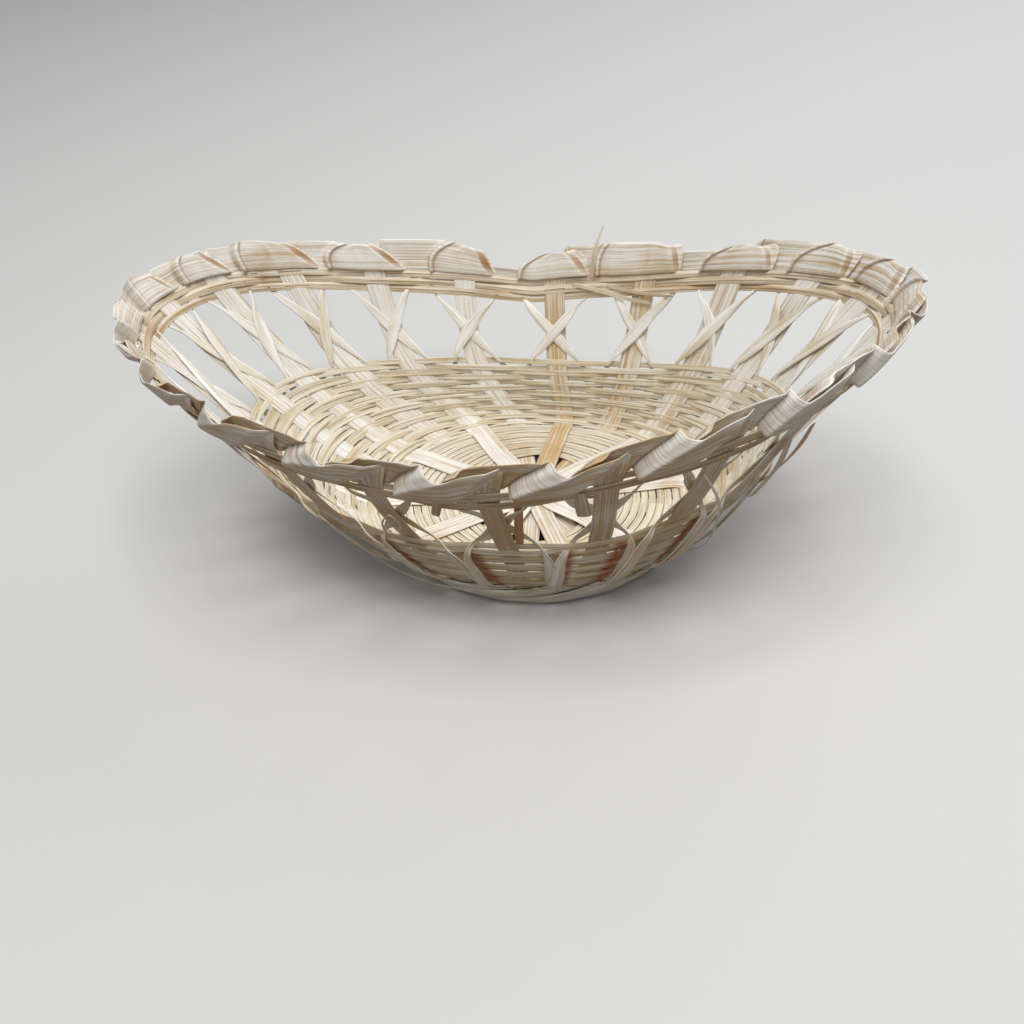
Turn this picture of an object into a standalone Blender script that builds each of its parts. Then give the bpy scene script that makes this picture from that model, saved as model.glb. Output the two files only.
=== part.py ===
"""Oval basket woven from flat split strips, with a laced open band and a folded border.

Metres, +Z up. The origin is under the middle of the basket, on the surface it stands on.
+X runs along the basket's length. Angles are counted from +X towards +Y.
"""
import math

import bmesh
import bpy
from mathutils import Vector

MM = 0.001

# Floor oval, where the flat base turns up into the wall
FLOOR_HALF_LENGTH = 56.0 * MM
FLOOR_HALF_WIDTH = 43.5 * MM
FLOOR_HEIGHT = 14.0 * MM
FLOOR_SHIFT = 8.0 * MM
FLOOR_OVAL_EXPONENT = 2.1
FLOOR_TURN_share = 0.6

# Bowl oval, the top of the close weave
BOWL_HALF_LENGTH = 93.5 * MM
BOWL_HALF_WIDTH = 51.5 * MM
BOWL_HEIGHT_LEFT = 49.0 * MM
BOWL_HEIGHT_RIGHT = 56.0 * MM
BOWL_HEIGHT_SIDE = 36.5 * MM
BOWL_SHIFT = 2.0 * MM
BOWL_OVAL_EXPONENT = 2.15
BOWL_RISE_EXPONENT = 2.0

# Rim oval, the top edge of the border
RIM_HALF_LENGTH = 132.5 * MM
RIM_HALF_WIDTH = 71.5 * MM
RIM_HEIGHT_LEFT = 98.0 * MM
RIM_HEIGHT_RIGHT = 106.5 * MM
RIM_HEIGHT_BACK = 78.0 * MM
RIM_HEIGHT_FRONT = 84.0 * MM
RIM_SHIFT = -0.2 * MM
RIM_OVAL_EXPONENT = 1.9
RIM_RISE_EXPONENT = 1.25

# Clearance between strips that touch
GAP = 0.3 * MM

# Upright stakes, which run from the middle of the floor to the border
STAKE_COUNT = 21
STAKE_THICKNESS = 0.6 * MM
STAKE_TIP_WIDTH = 2.2 * MM
STAKE_FLOOR_WIDTH = 8.0 * MM
STAKE_WALL_WIDTH = 8.6 * MM
STAKE_TIP_RADIUS = 3.6 * MM
STAKE_TAPER_RADIUS = 9.5 * MM
STAKE_LAP_share = 0.47
STAKE_SPREAD_share = 0.58
STAKE_CORNER_REACH = 3.6 * MM
WALL_STATION_shares = (0.01, 0.07, 0.13, 0.2, 0.28, 0.36, 0.45, 0.56, 0.7, 0.85, 1.0)
OPEN_STATION_shares = (0.25, 0.5, 1.0)

# Border, made of the stakes' own ends folded over and laid round the rim
BORDER_DEPTH = 11.5 * MM
BORDER_LIP = 0.3 * MM
BORDER_PASS_MARGIN = 1.0 * MM
BORDER_END_share = 0.35

# Thin weavers of the close wall and of the bowl's edge
WALL_ROW_COUNT = 10
WEAVER_WIDTH = 1.7 * MM
WEAVER_THICKNESS = 0.5 * MM
WEAVER_MARGIN = 0.6 * MM
EDGE_WEAVER_WIDTH = 2.2 * MM
WALL_FIRST_ROW_share = 0.17
WALL_LAST_ROW_share = 0.90
WEAVER_SEAM_STAKE = 12

# Band of weavers under the border
BAND_ROW_COUNT = 3
BAND_WEAVER_WIDTH = 2.2 * MM
BAND_ROW_SPACING = 2.9 * MM
BAND_DROP = 1.3 * MM

# Flat fill rows woven through the floor
FILL_ROW_COUNT = 4
FILL_WEAVER_WIDTH = 2.7 * MM
FILL_OUTER_share = 0.89
FILL_INNER_share = 0.65
FILL_STATION_COUNT = 42

# Narrow lacing that crosses on the inside of each stake
LACE_STRIP_COUNT = 7
LACE_CROSSING_WIDTH = 3.2 * MM
LACE_TURN_WIDTH = 1.2 * MM
LACE_THICKNESS = 0.5 * MM
LACE_TURN_RADIUS = 1.6 * MM
LACE_CURVE_ALLOWANCE = 0.5 * MM
LACE_SIDE_WIDTH_share = 0.45
LACE_LOW_WIDTHS = (2.0 * MM, 3.4 * MM, 3.0 * MM)
LACE_LOW_LEVEL_shares = (0.28, 0.45, 0.72)
LACE_LOW_GAP_shares = (0.50, 0.56, 0.60)
LACE_EDGE_share = 0.60
LACE_OVER_share = 0.16
LACE_UNDER_share = 0.86
LACE_HIGH_share = 0.35
LACE_TOP_share = 0.50
LACE_ARCH_share = 0.10
LACE_FOOT_LEVEL_share = 0.16

# Foot ring, four flat strands wound round each other
FOOT_HALF_LENGTH = 51.1 * MM
FOOT_HALF_WIDTH = 39.8 * MM
FOOT_STRAND_COUNT = 4
FOOT_STRAND_WIDTH = 4.8 * MM
FOOT_STRAND_THICKNESS = 0.7 * MM
FOOT_WAVE_COUNT = 2
FOOT_WAVE_DEPTH = 1.4 * MM
FOOT_TRIM = 0.4 * MM
FOOT_STATION_COUNT = 48

# Colours as linear red, green and blue
STRIP_COLOUR = (0.66, 0.52, 0.32)
WEAVER_COLOUR = (0.60, 0.44, 0.24)
BAND_COLOUR = (0.55, 0.39, 0.23)
LACE_COLOUR = (0.70, 0.57, 0.37)
FOOT_COLOUR = (0.62, 0.56, 0.36)
ROUGHNESS_share = 0.6

PROBE_share = 0.001
UP = Vector((0.0, 0.0, 1.0))


class Oval:
    """One level of the basket: an oval in plan whose height rises towards its two ends."""

    def __init__(self, half_length, half_width, shift, exponent, heights, rise):
        self.half_length = half_length
        self.half_width = half_width
        self.shift = shift
        self.power = 2.0 / exponent
        self.back, self.front, self.left, self.right = heights
        self.rise = rise

    def point(self, angle):
        cosine = math.cos(angle)
        sine = math.sin(angle)
        end = self.right if cosine > 0.0 else self.left
        middle = self.back if sine > 0.0 else self.front
        x = self.shift + self.half_length * math.copysign(abs(cosine) ** self.power, cosine)
        y = self.half_width * math.copysign(abs(sine) ** self.power, sine)
        z = middle + (end - middle) * abs(cosine) ** self.rise
        return Vector((x, y, z))


FLOOR = Oval(FLOOR_HALF_LENGTH, FLOOR_HALF_WIDTH, FLOOR_SHIFT, FLOOR_OVAL_EXPONENT,
             [FLOOR_HEIGHT] * 4, 1.0)
BOWL = Oval(BOWL_HALF_LENGTH, BOWL_HALF_WIDTH, BOWL_SHIFT, BOWL_OVAL_EXPONENT,
            [BOWL_HEIGHT_SIDE, BOWL_HEIGHT_SIDE, BOWL_HEIGHT_LEFT, BOWL_HEIGHT_RIGHT],
            BOWL_RISE_EXPONENT)
RIM = Oval(RIM_HALF_LENGTH, RIM_HALF_WIDTH, RIM_SHIFT, RIM_OVAL_EXPONENT,
           [RIM_HEIGHT_BACK, RIM_HEIGHT_FRONT, RIM_HEIGHT_LEFT, RIM_HEIGHT_RIGHT], RIM_RISE_EXPONENT)

FLOOR_CENTRE = Vector((FLOOR_SHIFT, 0.0, FLOOR_HEIGHT))
STAKE_STEP = math.tau / STAKE_COUNT
LAYER = STAKE_THICKNESS / 2 + GAP + WEAVER_THICKNESS / 2
BORDER_LAYER = STAKE_THICKNESS + GAP
LACE_NEAR = -(STAKE_THICKNESS / 2 + GAP + LACE_THICKNESS / 2)
LACE_FAR = LACE_NEAR - LACE_THICKNESS - GAP
LACE_OUTSIDE = LAYER + WEAVER_THICKNESS / 2 + LACE_CURVE_ALLOWANCE + GAP + LACE_THICKNESS / 2


def hermite(start, end, start_slope, end_slope, t):
    """Point at t from 0 to 1 on a cubic curve with the given end points and slopes."""
    square = t * t
    cube = square * t
    return (start * (2 * cube - 3 * square + 1) + start_slope * (cube - 2 * square + t)
            + end * (3 * square - 2 * cube) + end_slope * (cube - square))


def wall_point(angle, level):
    """Point on the wall: level 0 is the floor's edge, 1 the bowl's edge and 2 the rim."""
    floor, bowl, rim = FLOOR.point(angle), BOWL.point(angle), RIM.point(angle)
    lower, upper = bowl - floor, rim - bowl
    bend = (lower.normalized() + upper.normalized()).normalized()
    if level <= 1.0:
        level_start = (floor - FLOOR_CENTRE).normalized() * lower.length
        start = lower.lerp(level_start, FLOOR_TURN_share)
        return hermite(floor, bowl, start, bend * lower.length, level)
    return hermite(bowl, rim, bend * upper.length, upper, level - 1.0)


class Frame:
    """The wall's directions at one point: along the ring, up the wall and outwards."""

    def __init__(self, angle, level):
        self.origin = wall_point(angle, level)
        along = wall_point(angle + PROBE_share, level) - wall_point(angle - PROBE_share, level)
        self.up = (wall_point(angle, level + PROBE_share)
                   - wall_point(angle, level - PROBE_share)).normalized()
        self.out = along.cross(self.up).normalized()
        self.along = self.up.cross(self.out)

    def at(self, sideways, outwards, upwards=0.0):
        return self.origin + self.along * sideways + self.out * outwards + self.up * upwards


def stake_angle(index):
    return index * STAKE_STEP


def upper_length(angle):
    """Length of the wall from the bowl's edge up to the rim."""
    return (RIM.point(angle) - BOWL.point(angle)).length


def level_below_rim(angle, depth):
    return 2.0 - depth / upper_length(angle)


def band_row_depth(row):
    return BORDER_DEPTH + BAND_DROP + BAND_WEAVER_WIDTH / 2 + row * BAND_ROW_SPACING


def lattice_level(angle, share):
    """Level in the open zone: share 0 is the bowl's edge and 1 the band's lower side."""
    bottom_row = band_row_depth(BAND_ROW_COUNT - 1)
    top = level_below_rim(angle, bottom_row + BAND_WEAVER_WIDTH / 2)
    return 1.0 + (top - 1.0) * share


def strip_material(name, colour):
    material = bpy.data.materials.new(name)
    material.use_nodes = True
    shader = material.node_tree.nodes["Principled BSDF"]
    shader.inputs["Base Color"].default_value = (*colour, 1.0)
    shader.inputs["Roughness"].default_value = ROUGHNESS_share
    shader.inputs["Metallic"].default_value = 0.0
    return material


def chain(mesh, points, closed):
    """Edges through the points, in order."""
    corners = [mesh.verts.new(point) for point in points]
    pairs = list(zip(corners, corners[1:]))
    if closed:
        pairs.append((corners[-1], corners[0]))
    return [mesh.edges.new(pair) for pair in pairs]


def make_strip(name, sides, thickness, material, closed=False):
    """Flat strip between two rows of edge points, bridged and then made solid."""
    mesh = bmesh.new()
    first = chain(mesh, [side[0] for side in sides], closed)
    second = chain(mesh, [side[1] for side in sides], closed)
    bmesh.ops.bridge_loops(mesh, edges=first + second)
    bmesh.ops.recalc_face_normals(mesh, faces=mesh.faces)
    data = bpy.data.meshes.new(name)
    mesh.to_mesh(data)
    mesh.free()
    data.materials.append(material)
    strip = bpy.data.objects.new(name, data)
    bpy.context.scene.collection.objects.link(strip)
    solid = strip.modifiers.new("Thickness", "SOLIDIFY")
    solid.thickness = thickness
    solid.offset = 0.0
    return strip


def edges(centre, side, width):
    """The two edge points of a strip, on both sides of its middle."""
    return (centre - side * width / 2, centre + side * width / 2)


def floor_layer(index):
    """Height step of a stake's inner end, so that the lapped ends lie on one another."""
    rank = index // 2
    if index == STAKE_COUNT - 1:
        return -3
    if index % 2 == 1:
        return 1 + rank % 2
    return -1 - rank % 2


def stake_floor_sides(index):
    """A stake's flat part, from near the middle of the floor to just short of the wall."""
    edge = FLOOR.point(stake_angle(index))
    radius = (edge - FLOOR_CENTRE).length
    outward = (edge - FLOOR_CENTRE).normalized()
    layer = floor_layer(index)
    inner = layer * LAYER
    outer = math.copysign(max(1, abs(layer) - 1), layer) * LAYER
    runs = ((STAKE_TIP_RADIUS, STAKE_TIP_WIDTH, inner),
            (STAKE_TAPER_RADIUS, STAKE_FLOOR_WIDTH, inner),
            (radius * STAKE_LAP_share, STAKE_FLOOR_WIDTH, inner),
            (radius * STAKE_SPREAD_share, STAKE_FLOOR_WIDTH, outer),
            (radius - STAKE_CORNER_REACH, STAKE_FLOOR_WIDTH, math.copysign(LAYER, layer)))
    return [edges(FLOOR_CENTRE + outward * distance + UP * height, UP.cross(outward), width)
            for distance, width, height in runs]


def stake_wall_sides(index):
    """A stake's run up the close weave, the open zone and the band."""
    angle = stake_angle(index)
    levels = list(WALL_STATION_shares)
    levels.extend(lattice_level(angle, share) for share in OPEN_STATION_shares)
    sides = []
    for level in levels:
        frame = Frame(angle, level)
        sides.append(edges(frame.origin, frame.along, STAKE_WALL_WIDTH))
    return sides


def border_frame(index):
    """Frame at the lower side of the border, on one stake."""
    angle = stake_angle(index)
    return Frame(angle, level_below_rim(angle, BORDER_DEPTH))


def stake_border_sides(index):
    """A stake's top end: folded over slantwise, outside its own stake and inside the next."""
    width = BORDER_DEPTH - BORDER_LIP
    half = width / 2
    home, after, beyond = (border_frame(index - step) for step in range(3))
    lean = math.sqrt(0.5) * BORDER_LAYER / 2
    reach = half + BORDER_PASS_MARGIN

    def upright(frame, sideways, outwards):
        return (frame.at(sideways, outwards, width), frame.at(sideways, outwards))

    last = upright(after, -reach, -BORDER_LAYER)
    onward = upright(beyond, reach, -BORDER_LAYER)
    end = tuple(near.lerp(far, BORDER_END_share) for near, far in zip(last, onward))
    return [(home.at(-half, 0.0, -BORDER_LAYER), home.at(half, 0.0, -BORDER_LAYER)),
            (home.at(-half, 0.0, width), home.at(half, 0.0)),
            (home.at(-half + lean, BORDER_LAYER / 2, width + lean - BORDER_LIP),
             home.at(half + lean, BORDER_LAYER / 2, lean)),
            (home.at(-half, BORDER_LAYER, width), home.at(half, BORDER_LAYER)),
            upright(home, -reach, BORDER_LAYER),
            upright(after, reach, -BORDER_LAYER),
            last,
            end]


def make_stakes(material):
    for index in range(STAKE_COUNT):
        sides = stake_floor_sides(index) + stake_wall_sides(index) + stake_border_sides(index)
        make_strip(f"stake_{index + 1:02d}", sides, STAKE_THICKNESS, material)


def weave_sides(level_at, width, start_side):
    """One row: in and out of the stakes, with both its ends lapped on the seam stake."""
    sides = []
    reach = STAKE_WALL_WIDTH / 2 + WEAVER_MARGIN
    for step in range(STAKE_COUNT + 1):
        angle = stake_angle(WEAVER_SEAM_STAKE + step)
        frame = Frame(angle, level_at(angle))
        face = start_side * LAYER * (1 if step % 2 == 0 else -1)
        sides.append(edges(frame.at(-reach, face), frame.up, width))
        sides.append(edges(frame.at(reach, face), frame.up, width))
    return sides


def make_wall_weavers(material):
    spacing = (WALL_LAST_ROW_share - WALL_FIRST_ROW_share) / (WALL_ROW_COUNT - 1)
    for row in range(WALL_ROW_COUNT):
        level = WALL_FIRST_ROW_share + row * spacing
        start_side = 1 if row % 2 == 0 else -1
        sides = weave_sides(lambda angle: level, WEAVER_WIDTH, start_side)
        make_strip(f"wall_weaver_{row + 1:02d}", sides, WEAVER_THICKNESS, material)


def make_edge_weaver(material):
    start_side = 1 if WALL_ROW_COUNT % 2 == 0 else -1
    sides = weave_sides(lambda angle: 1.0, EDGE_WEAVER_WIDTH, start_side)
    make_strip("bowl_edge_weaver", sides, WEAVER_THICKNESS, material)


def make_band_weavers(material):
    for row in range(BAND_ROW_COUNT):
        depth = band_row_depth(row)
        start_side = 1 if row % 2 == 0 else -1
        sides = weave_sides(lambda angle: level_below_rim(angle, depth), BAND_WEAVER_WIDTH,
                            start_side)
        make_strip(f"band_weaver_{row + 1}", sides, WEAVER_THICKNESS, material)


def make_floor_weavers(material):
    """Flat fill rows, over every second stake and under the ones between."""
    spacing = (FILL_OUTER_share - FILL_INNER_share) / (FILL_ROW_COUNT - 1)
    for row in range(FILL_ROW_COUNT):
        share = FILL_OUTER_share - row * spacing
        sides = []
        for station in range(FILL_STATION_COUNT):
            reach = FLOOR.point(math.tau * station / FILL_STATION_COUNT) - FLOOR_CENTRE
            centre = FLOOR_CENTRE + reach * share
            sides.append(edges(centre, reach.normalized(), FILL_WEAVER_WIDTH))
        make_strip(f"floor_weaver_{row + 1}", sides, WEAVER_THICKNESS, material, closed=True)


def beside_stake(index, direction, level_at, gap_share):
    """Frame beside a stake: share 0 is the stake's edge and share 1 the middle of the gap."""
    angle = stake_angle(index)
    level = level_at(angle)
    pitch = (wall_point(angle + direction * STAKE_STEP, level) - wall_point(angle, level)).length
    edge = STAKE_WALL_WIDTH / 2 / pitch
    spot = angle + direction * STAKE_STEP * (edge + (0.5 - edge) * gap_share)
    return Frame(spot, level_at(spot))


def lace_leg(index, direction):
    """Half a lacing turn over one stake, from the foot up: points, widths and outward directions.

    Direction 1 leans towards growing angles as it rises and lies next to the stake.
    """
    inside = LACE_NEAR if direction > 0 else LACE_FAR
    narrow = LACE_CROSSING_WIDTH * LACE_SIDE_WIDTH_share
    angle = stake_angle(index)
    middle = lattice_level(angle, 0.5)
    home = Frame(angle, middle)
    clear = (STAKE_WALL_WIDTH + narrow) / 2 + GAP

    def spot(frame, width, sideways, outwards):
        return (frame.at(sideways, outwards), width, frame.out)

    def below(level, gap_share):
        return beside_stake(index, -direction, lambda angle: level, gap_share)

    def outer(level, gap_share, width):
        near = below(level, gap_share)
        far = beside_stake(index - direction, direction, lambda angle: level, gap_share)
        room = (near.origin - far.origin).length - 2 * GAP
        return spot(near, min(width, room), 0.0, LACE_OUTSIDE)

    def open_zone(side, share, gap_share):
        return beside_stake(index, side, lambda angle: lattice_level(angle, share), gap_share)

    def turn(frame, outwards):
        return spot(frame, LACE_TURN_WIDTH, 0.0, outwards)

    low = turn(open_zone(-direction, LACE_OVER_share, LACE_EDGE_share), 0.0)
    high = turn(open_zone(direction, LACE_UNDER_share, LACE_HIGH_share), 0.0)
    across_wall = high[0] - low[0]
    slope = across_wall.dot(home.up) / abs(across_wall.dot(home.along))
    rise = clear * slope / upper_length(angle)
    spots = [outer(level, gap_share, width)
             for level, gap_share, width in zip(LACE_LOW_LEVEL_shares, LACE_LOW_GAP_shares,
                                                LACE_LOW_WIDTHS)]
    spots.append(turn(below(1.0, LACE_EDGE_share), LACE_OUTSIDE))
    spots.append(turn(open_zone(-direction, LACE_OVER_share / 2, LACE_EDGE_share), LACE_OUTSIDE))
    spots.append(low)
    spots.append(spot(Frame(angle, middle - rise), narrow, -direction * clear, inside))
    spots.append(spot(home, LACE_CROSSING_WIDTH, 0.0, inside))
    spots.append(spot(Frame(angle, middle + rise), narrow, direction * clear, inside))
    spots.append(high)
    spots.append(turn(open_zone(direction, 1.0, LACE_TOP_share), LACE_OUTSIDE))
    return spots


def lace_top_turn(gap):
    """Wide arch behind the band, between the legs on both sides of a gap."""
    bends = []
    for share, lift in ((LACE_ARCH_share, 0), (0.0, 1), (-LACE_ARCH_share, 0)):
        angle = stake_angle(gap + share)
        frame = Frame(angle, level_below_rim(angle, band_row_depth(BAND_ROW_COUNT - 1 - lift)))
        bends.append((frame.at(0.0, LACE_OUTSIDE), LACE_TURN_WIDTH, frame.out))
    return bends


def lace_foot_turn(gap):
    """Narrow V just above the foot, in the middle of a gap."""
    frame = Frame(stake_angle(gap), LACE_FOOT_LEVEL_share)
    corners = (frame.at(LACE_TURN_RADIUS, LACE_OUTSIDE), frame.at(0.0, LACE_OUTSIDE, -LACE_TURN_RADIUS),
               frame.at(-LACE_TURN_RADIUS, LACE_OUTSIDE))
    return [(corner, LACE_TURN_WIDTH, frame.out) for corner in corners]


def lace_path(first, legs):
    """One lacing strip that works backwards round the ring, with a leg over each stake."""
    spots = []
    for leg in range(legs):
        index = first - leg
        falling = leg % 2 == 1
        stations = lace_leg(index, 1 if falling else -1)
        spots.extend(reversed(stations) if falling else stations)
        if leg < legs - 1:
            spots.extend(lace_foot_turn(index - 0.5) if falling else lace_top_turn(index - 0.5))
    return spots


def make_laces(material):
    """Lacing strips: up over one stake, round the band, down over the next, round the foot."""
    legs = 2 * STAKE_COUNT // LACE_STRIP_COUNT
    for strip in range(LACE_STRIP_COUNT):
        spots = lace_path(-strip * legs, legs)
        sides = []
        for place, (point, width, out) in enumerate(spots):
            before = spots[max(place - 1, 0)][0]
            after = spots[min(place + 1, len(spots) - 1)][0]
            sides.append(edges(point, out.cross(after - before).normalized(), width))
        make_strip(f"lacing_strip_{strip + 1}", sides, LACE_THICKNESS, material)


def make_foot_strands(material):
    """Foot ring: strands that rise and fall and move in and out, each a quarter wave behind the last.

    Their crests and troughs are cut level, so that the basket stands flat.
    """
    height = FLOOR_HEIGHT - LAYER - STAKE_THICKNESS / 2 - GAP
    swing = (height - FOOT_STRAND_WIDTH) / 2 + FOOT_TRIM
    for strand in range(FOOT_STRAND_COUNT):
        sides = []
        for station in range(FOOT_STATION_COUNT):
            angle = math.tau * station / FOOT_STATION_COUNT
            phase = FOOT_WAVE_COUNT * angle + math.tau * strand / FOOT_STRAND_COUNT
            inout = FOOT_WAVE_DEPTH * math.cos(phase)
            middle = height / 2 + swing * math.sin(phase)
            lower = Vector((FLOOR_SHIFT + (FOOT_HALF_LENGTH + inout) * math.cos(angle),
                            (FOOT_HALF_WIDTH + inout) * math.sin(angle),
                            max(0.0, middle - FOOT_STRAND_WIDTH / 2)))
            upper = lower.copy()
            upper.z = min(height, middle + FOOT_STRAND_WIDTH / 2)
            sides.append((lower, upper))
        make_strip(f"foot_strand_{strand + 1}", sides, FOOT_STRAND_THICKNESS, material, closed=True)


def build():
    for old in list(bpy.data.objects):
        bpy.data.objects.remove(old, do_unlink=True)
    strip = strip_material("split_strip", STRIP_COLOUR)
    weaver = strip_material("thin_weaver", WEAVER_COLOUR)
    band = strip_material("band_weaver", BAND_COLOUR)
    lace = strip_material("lacing", LACE_COLOUR)
    foot = strip_material("foot_strand", FOOT_COLOUR)
    make_stakes(strip)
    make_floor_weavers(weaver)
    make_wall_weavers(weaver)
    make_edge_weaver(weaver)
    make_band_weavers(band)
    make_laces(lace)
    make_foot_strands(foot)


build()
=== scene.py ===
import math
import random

import bpy
import numpy as np
from mathutils import Matrix, Vector


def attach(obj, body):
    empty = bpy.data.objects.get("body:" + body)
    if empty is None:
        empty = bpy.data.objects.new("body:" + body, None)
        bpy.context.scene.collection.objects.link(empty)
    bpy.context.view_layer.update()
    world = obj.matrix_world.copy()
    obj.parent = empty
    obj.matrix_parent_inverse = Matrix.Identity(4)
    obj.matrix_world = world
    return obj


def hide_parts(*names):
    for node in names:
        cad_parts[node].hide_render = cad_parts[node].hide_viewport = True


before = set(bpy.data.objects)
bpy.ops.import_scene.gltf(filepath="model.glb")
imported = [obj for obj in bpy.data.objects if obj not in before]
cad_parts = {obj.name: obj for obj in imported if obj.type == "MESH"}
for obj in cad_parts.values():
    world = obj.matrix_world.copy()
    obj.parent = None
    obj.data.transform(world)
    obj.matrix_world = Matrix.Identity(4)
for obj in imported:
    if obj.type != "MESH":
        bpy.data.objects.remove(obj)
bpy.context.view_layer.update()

MM = 0.001

# The basket's three ovals. Their heights are those of the back, the front, the left and the right.
FLOOR_HALF_LENGTH = 56.0 * MM
FLOOR_HALF_WIDTH = 43.5 * MM
FLOOR_HEIGHT = 14.0 * MM
FLOOR_SHIFT = 8.0 * MM
FLOOR_OVAL_EXPONENT = 2.1
FLOOR_TURN_share = 0.6
BOWL_HALF_LENGTH = 93.5 * MM
BOWL_HALF_WIDTH = 51.5 * MM
BOWL_HEIGHTS = (36.5 * MM, 36.5 * MM, 49.0 * MM, 56.0 * MM)
BOWL_SHIFT = 2.0 * MM
BOWL_OVAL_EXPONENT = 2.15
BOWL_RISE_EXPONENT = 2.0
RIM_HALF_LENGTH = 130.9 * MM
RIM_HALF_WIDTH = 70.2 * MM
RIM_HEIGHTS = (78.0 * MM, 84.0 * MM, 98.0 * MM, 106.0 * MM)
RIM_SHIFT = -0.2 * MM
RIM_OVAL_EXPONENT = 1.9
RIM_RISE_EXPONENT = 1.25

# How far the rim rises or falls at each stake, counted from the right end towards the back
RIM_LIFT = 3.0 * MM
RIM_LIFT_shares = (0.0, -0.3, -0.7, -0.8, -0.8, 0.3, 0.6, 0.0, 0.7, 1.2, 0.5,
                   0.0, 0.1, -0.2, 0.3, -0.3, 0.2, -0.3, 0.3, -0.2, 0.1)

# Stakes
STAKE_COUNT = 21
STAKE_THICKNESS = 0.55 * MM
STAKE_TIP_WIDTH = 3.2 * MM
STAKE_FLOOR_WIDTH = 8.0 * MM
STAKE_WALL_WIDTH = 8.3 * MM
STAKE_TIP_RADIUS = 1.0 * MM
STAKE_TAPER_RADIUS = 8.0 * MM
STAKE_LAP_share = 0.47
STAKE_SPREAD_share = 0.58
STAKE_CORNER_REACH = 3.6 * MM
STAKE_CUP = 0.22 * MM
STAKE_DRIFT = 0.25 * MM
STAKE_TIP_STEP = 0.035 * MM
STAKE_LINE_COUNT = 7
STAKE_WIDTH_shares = (1.0, 1.04, 0.97, 1.06, 1.0, 0.98, 0.95, 1.03, 1.06, 1.0, 0.96,
                      1.02, 0.94, 0.98, 0.93, 0.86, 0.84, 0.9, 0.96, 1.0, 1.03)
STAKE_TONE_shares = (0.3, 0.2, 0.3, 0.5, 1.7, 2.0, 0.1, 0.1, 0.45, 0.4, 0.3,
                     0.2, 0.4, 0.3, 0.5, 0.7, 0.8, 0.6, 0.4, 0.3, 0.5)
STAKE_SHADE_HEIGHT = 20.0 * MM
STAKE_WIDENING_LEVEL = 1.75
STAKE_WIDENING_REACH = 0.3
WALL_STATION_shares = (0.02, 0.1, 0.2, 0.32, 0.46, 0.62, 0.8, 1.0)
OPEN_STATION_shares = (0.2, 0.4, 0.6, 0.8, 1.0)
LAYER = 0.85 * MM

# Border ribbons. Each runs from its own stake to the next one on the right, seen from inside.
# The shares along it are counted in gaps from its own stake, and those up it in its width.
BORDER_DEPTH = 12.9 * MM
BORDER_WIDTH = 12.4 * MM
BORDER_FOLD_LAYER = 0.8 * MM
BORDER_OUT = 2.0 * MM
BORDER_OUT_LEAN = -0.6 * MM
BORDER_IN = 1.2 * MM
BORDER_IN_LEAN = 1.0 * MM
BORDER_SWELL = 0.45 * MM
BORDER_FOLD_DROP = 2.0 * MM
BORDER_RIDGE = 0.7 * MM
BORDER_GROOVE = 0.5 * MM
BORDER_TUCK_LOW = 0.5 * MM
BORDER_TUCK_TOP = -0.4 * MM
BORDER_TIP_LIFT = 0.9 * MM
BORDER_CRESCENT = 2.6 * MM
BORDER_CRESCENT_shares = (0.3, 0.25, 0.3, 0.35, 0.3, 0.4, 0.7, 1.0, 1.0, 1.0, 0.9,
                          0.6, 0.5, 0.4, 0.6, 0.4, 0.6, 0.4, 0.5, 0.5, 0.3)
BORDER_CREASE = 0.35 * MM
BORDER_CREASE_LENGTH = 0.9 * MM
BORDER_STATION_COUNT = 112
BORDER_ROUND_LENGTH = 5.0 * MM
BORDER_ROUND_LIFT = 0.6 * MM
BORDER_ROUND_share = 0.22
BORDER_CLOSING_share = 0.13
BORDER_CROSS_shares = (0.58, 0.62, 0.65, 0.66, 0.61, 0.47, 0.60, 0.64, 0.50, 0.45, 0.55,
                       0.60, 0.72, 0.76, 0.78, 0.80, 0.78, 0.80, 0.79, 0.70, 0.62)
BORDER_SLANT_shares = (0.25, 0.26, 0.32, 0.36, 0.28, 0.1, 0.30, 0.28, 0.30, 0.14, 0.2,
                       0.1, -0.2, -0.28, -0.32, -0.36, -0.30, -0.38, -0.34, -0.18, -0.1)
BORDER_END_TOP_shares = (1.15, 1.20, 1.20, 1.28, 1.20, 1.25, 1.10, 1.17, 0.95, 1.05, 0.95,
                         1.05, 1.15, 1.0, 1.1, 1.2, 1.05, 1.15, 1.0, 1.2, 1.1)
BORDER_END_LOW_shares = (1.42, 1.40, 1.40, 1.44, 1.42, 1.36, 1.38, 1.34, 1.36, 1.41, 1.30,
                         1.35, 1.40, 1.34, 1.42, 1.38, 1.36, 1.42, 1.34, 1.4, 1.38)
BORDER_TWIST_shares = (0.12, 0.0, 0.0, 0.2, 0.22, 0.10, 0.20, 0.0, 0.0, 0.0, 0.0,
                       0.12, 0.0, 0.16, 0.0, 0.0, 0.18, 0.0, 0.12, 0.0, 0.16)
BORDER_CREASE_shares = (0.05, -0.02, 0.0, 0.03, 0.04, 0.04, -0.03, 0.0, -0.12, -0.1, 0.02,
                        0.04, 0.0, -0.05, 0.0, 0.03, -0.03, 0.02, 0.0, 0.04, -0.02)
BORDER_SLOPE_shares = (0.0, 0.0, 0.05, 0.0, 0.18, -0.06, 0.14, -0.28, 0.05, 0.0, 0.05,
                       -0.05, 0.08, 0.0, -0.1, 0.06, -0.08, 0.1, 0.0, -0.06, 0.05)
BORDER_DIP_shares = (0.05, 0.0, 0.0, 0.05, 0.12, 0.05, 0.5, 0.0, 0.0, 0.1, 0.05,
                     0.1, 0.0, 0.0, 0.05, 0.1, 0.02, 0.08, 0.0, 0.05, 0.0)

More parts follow.
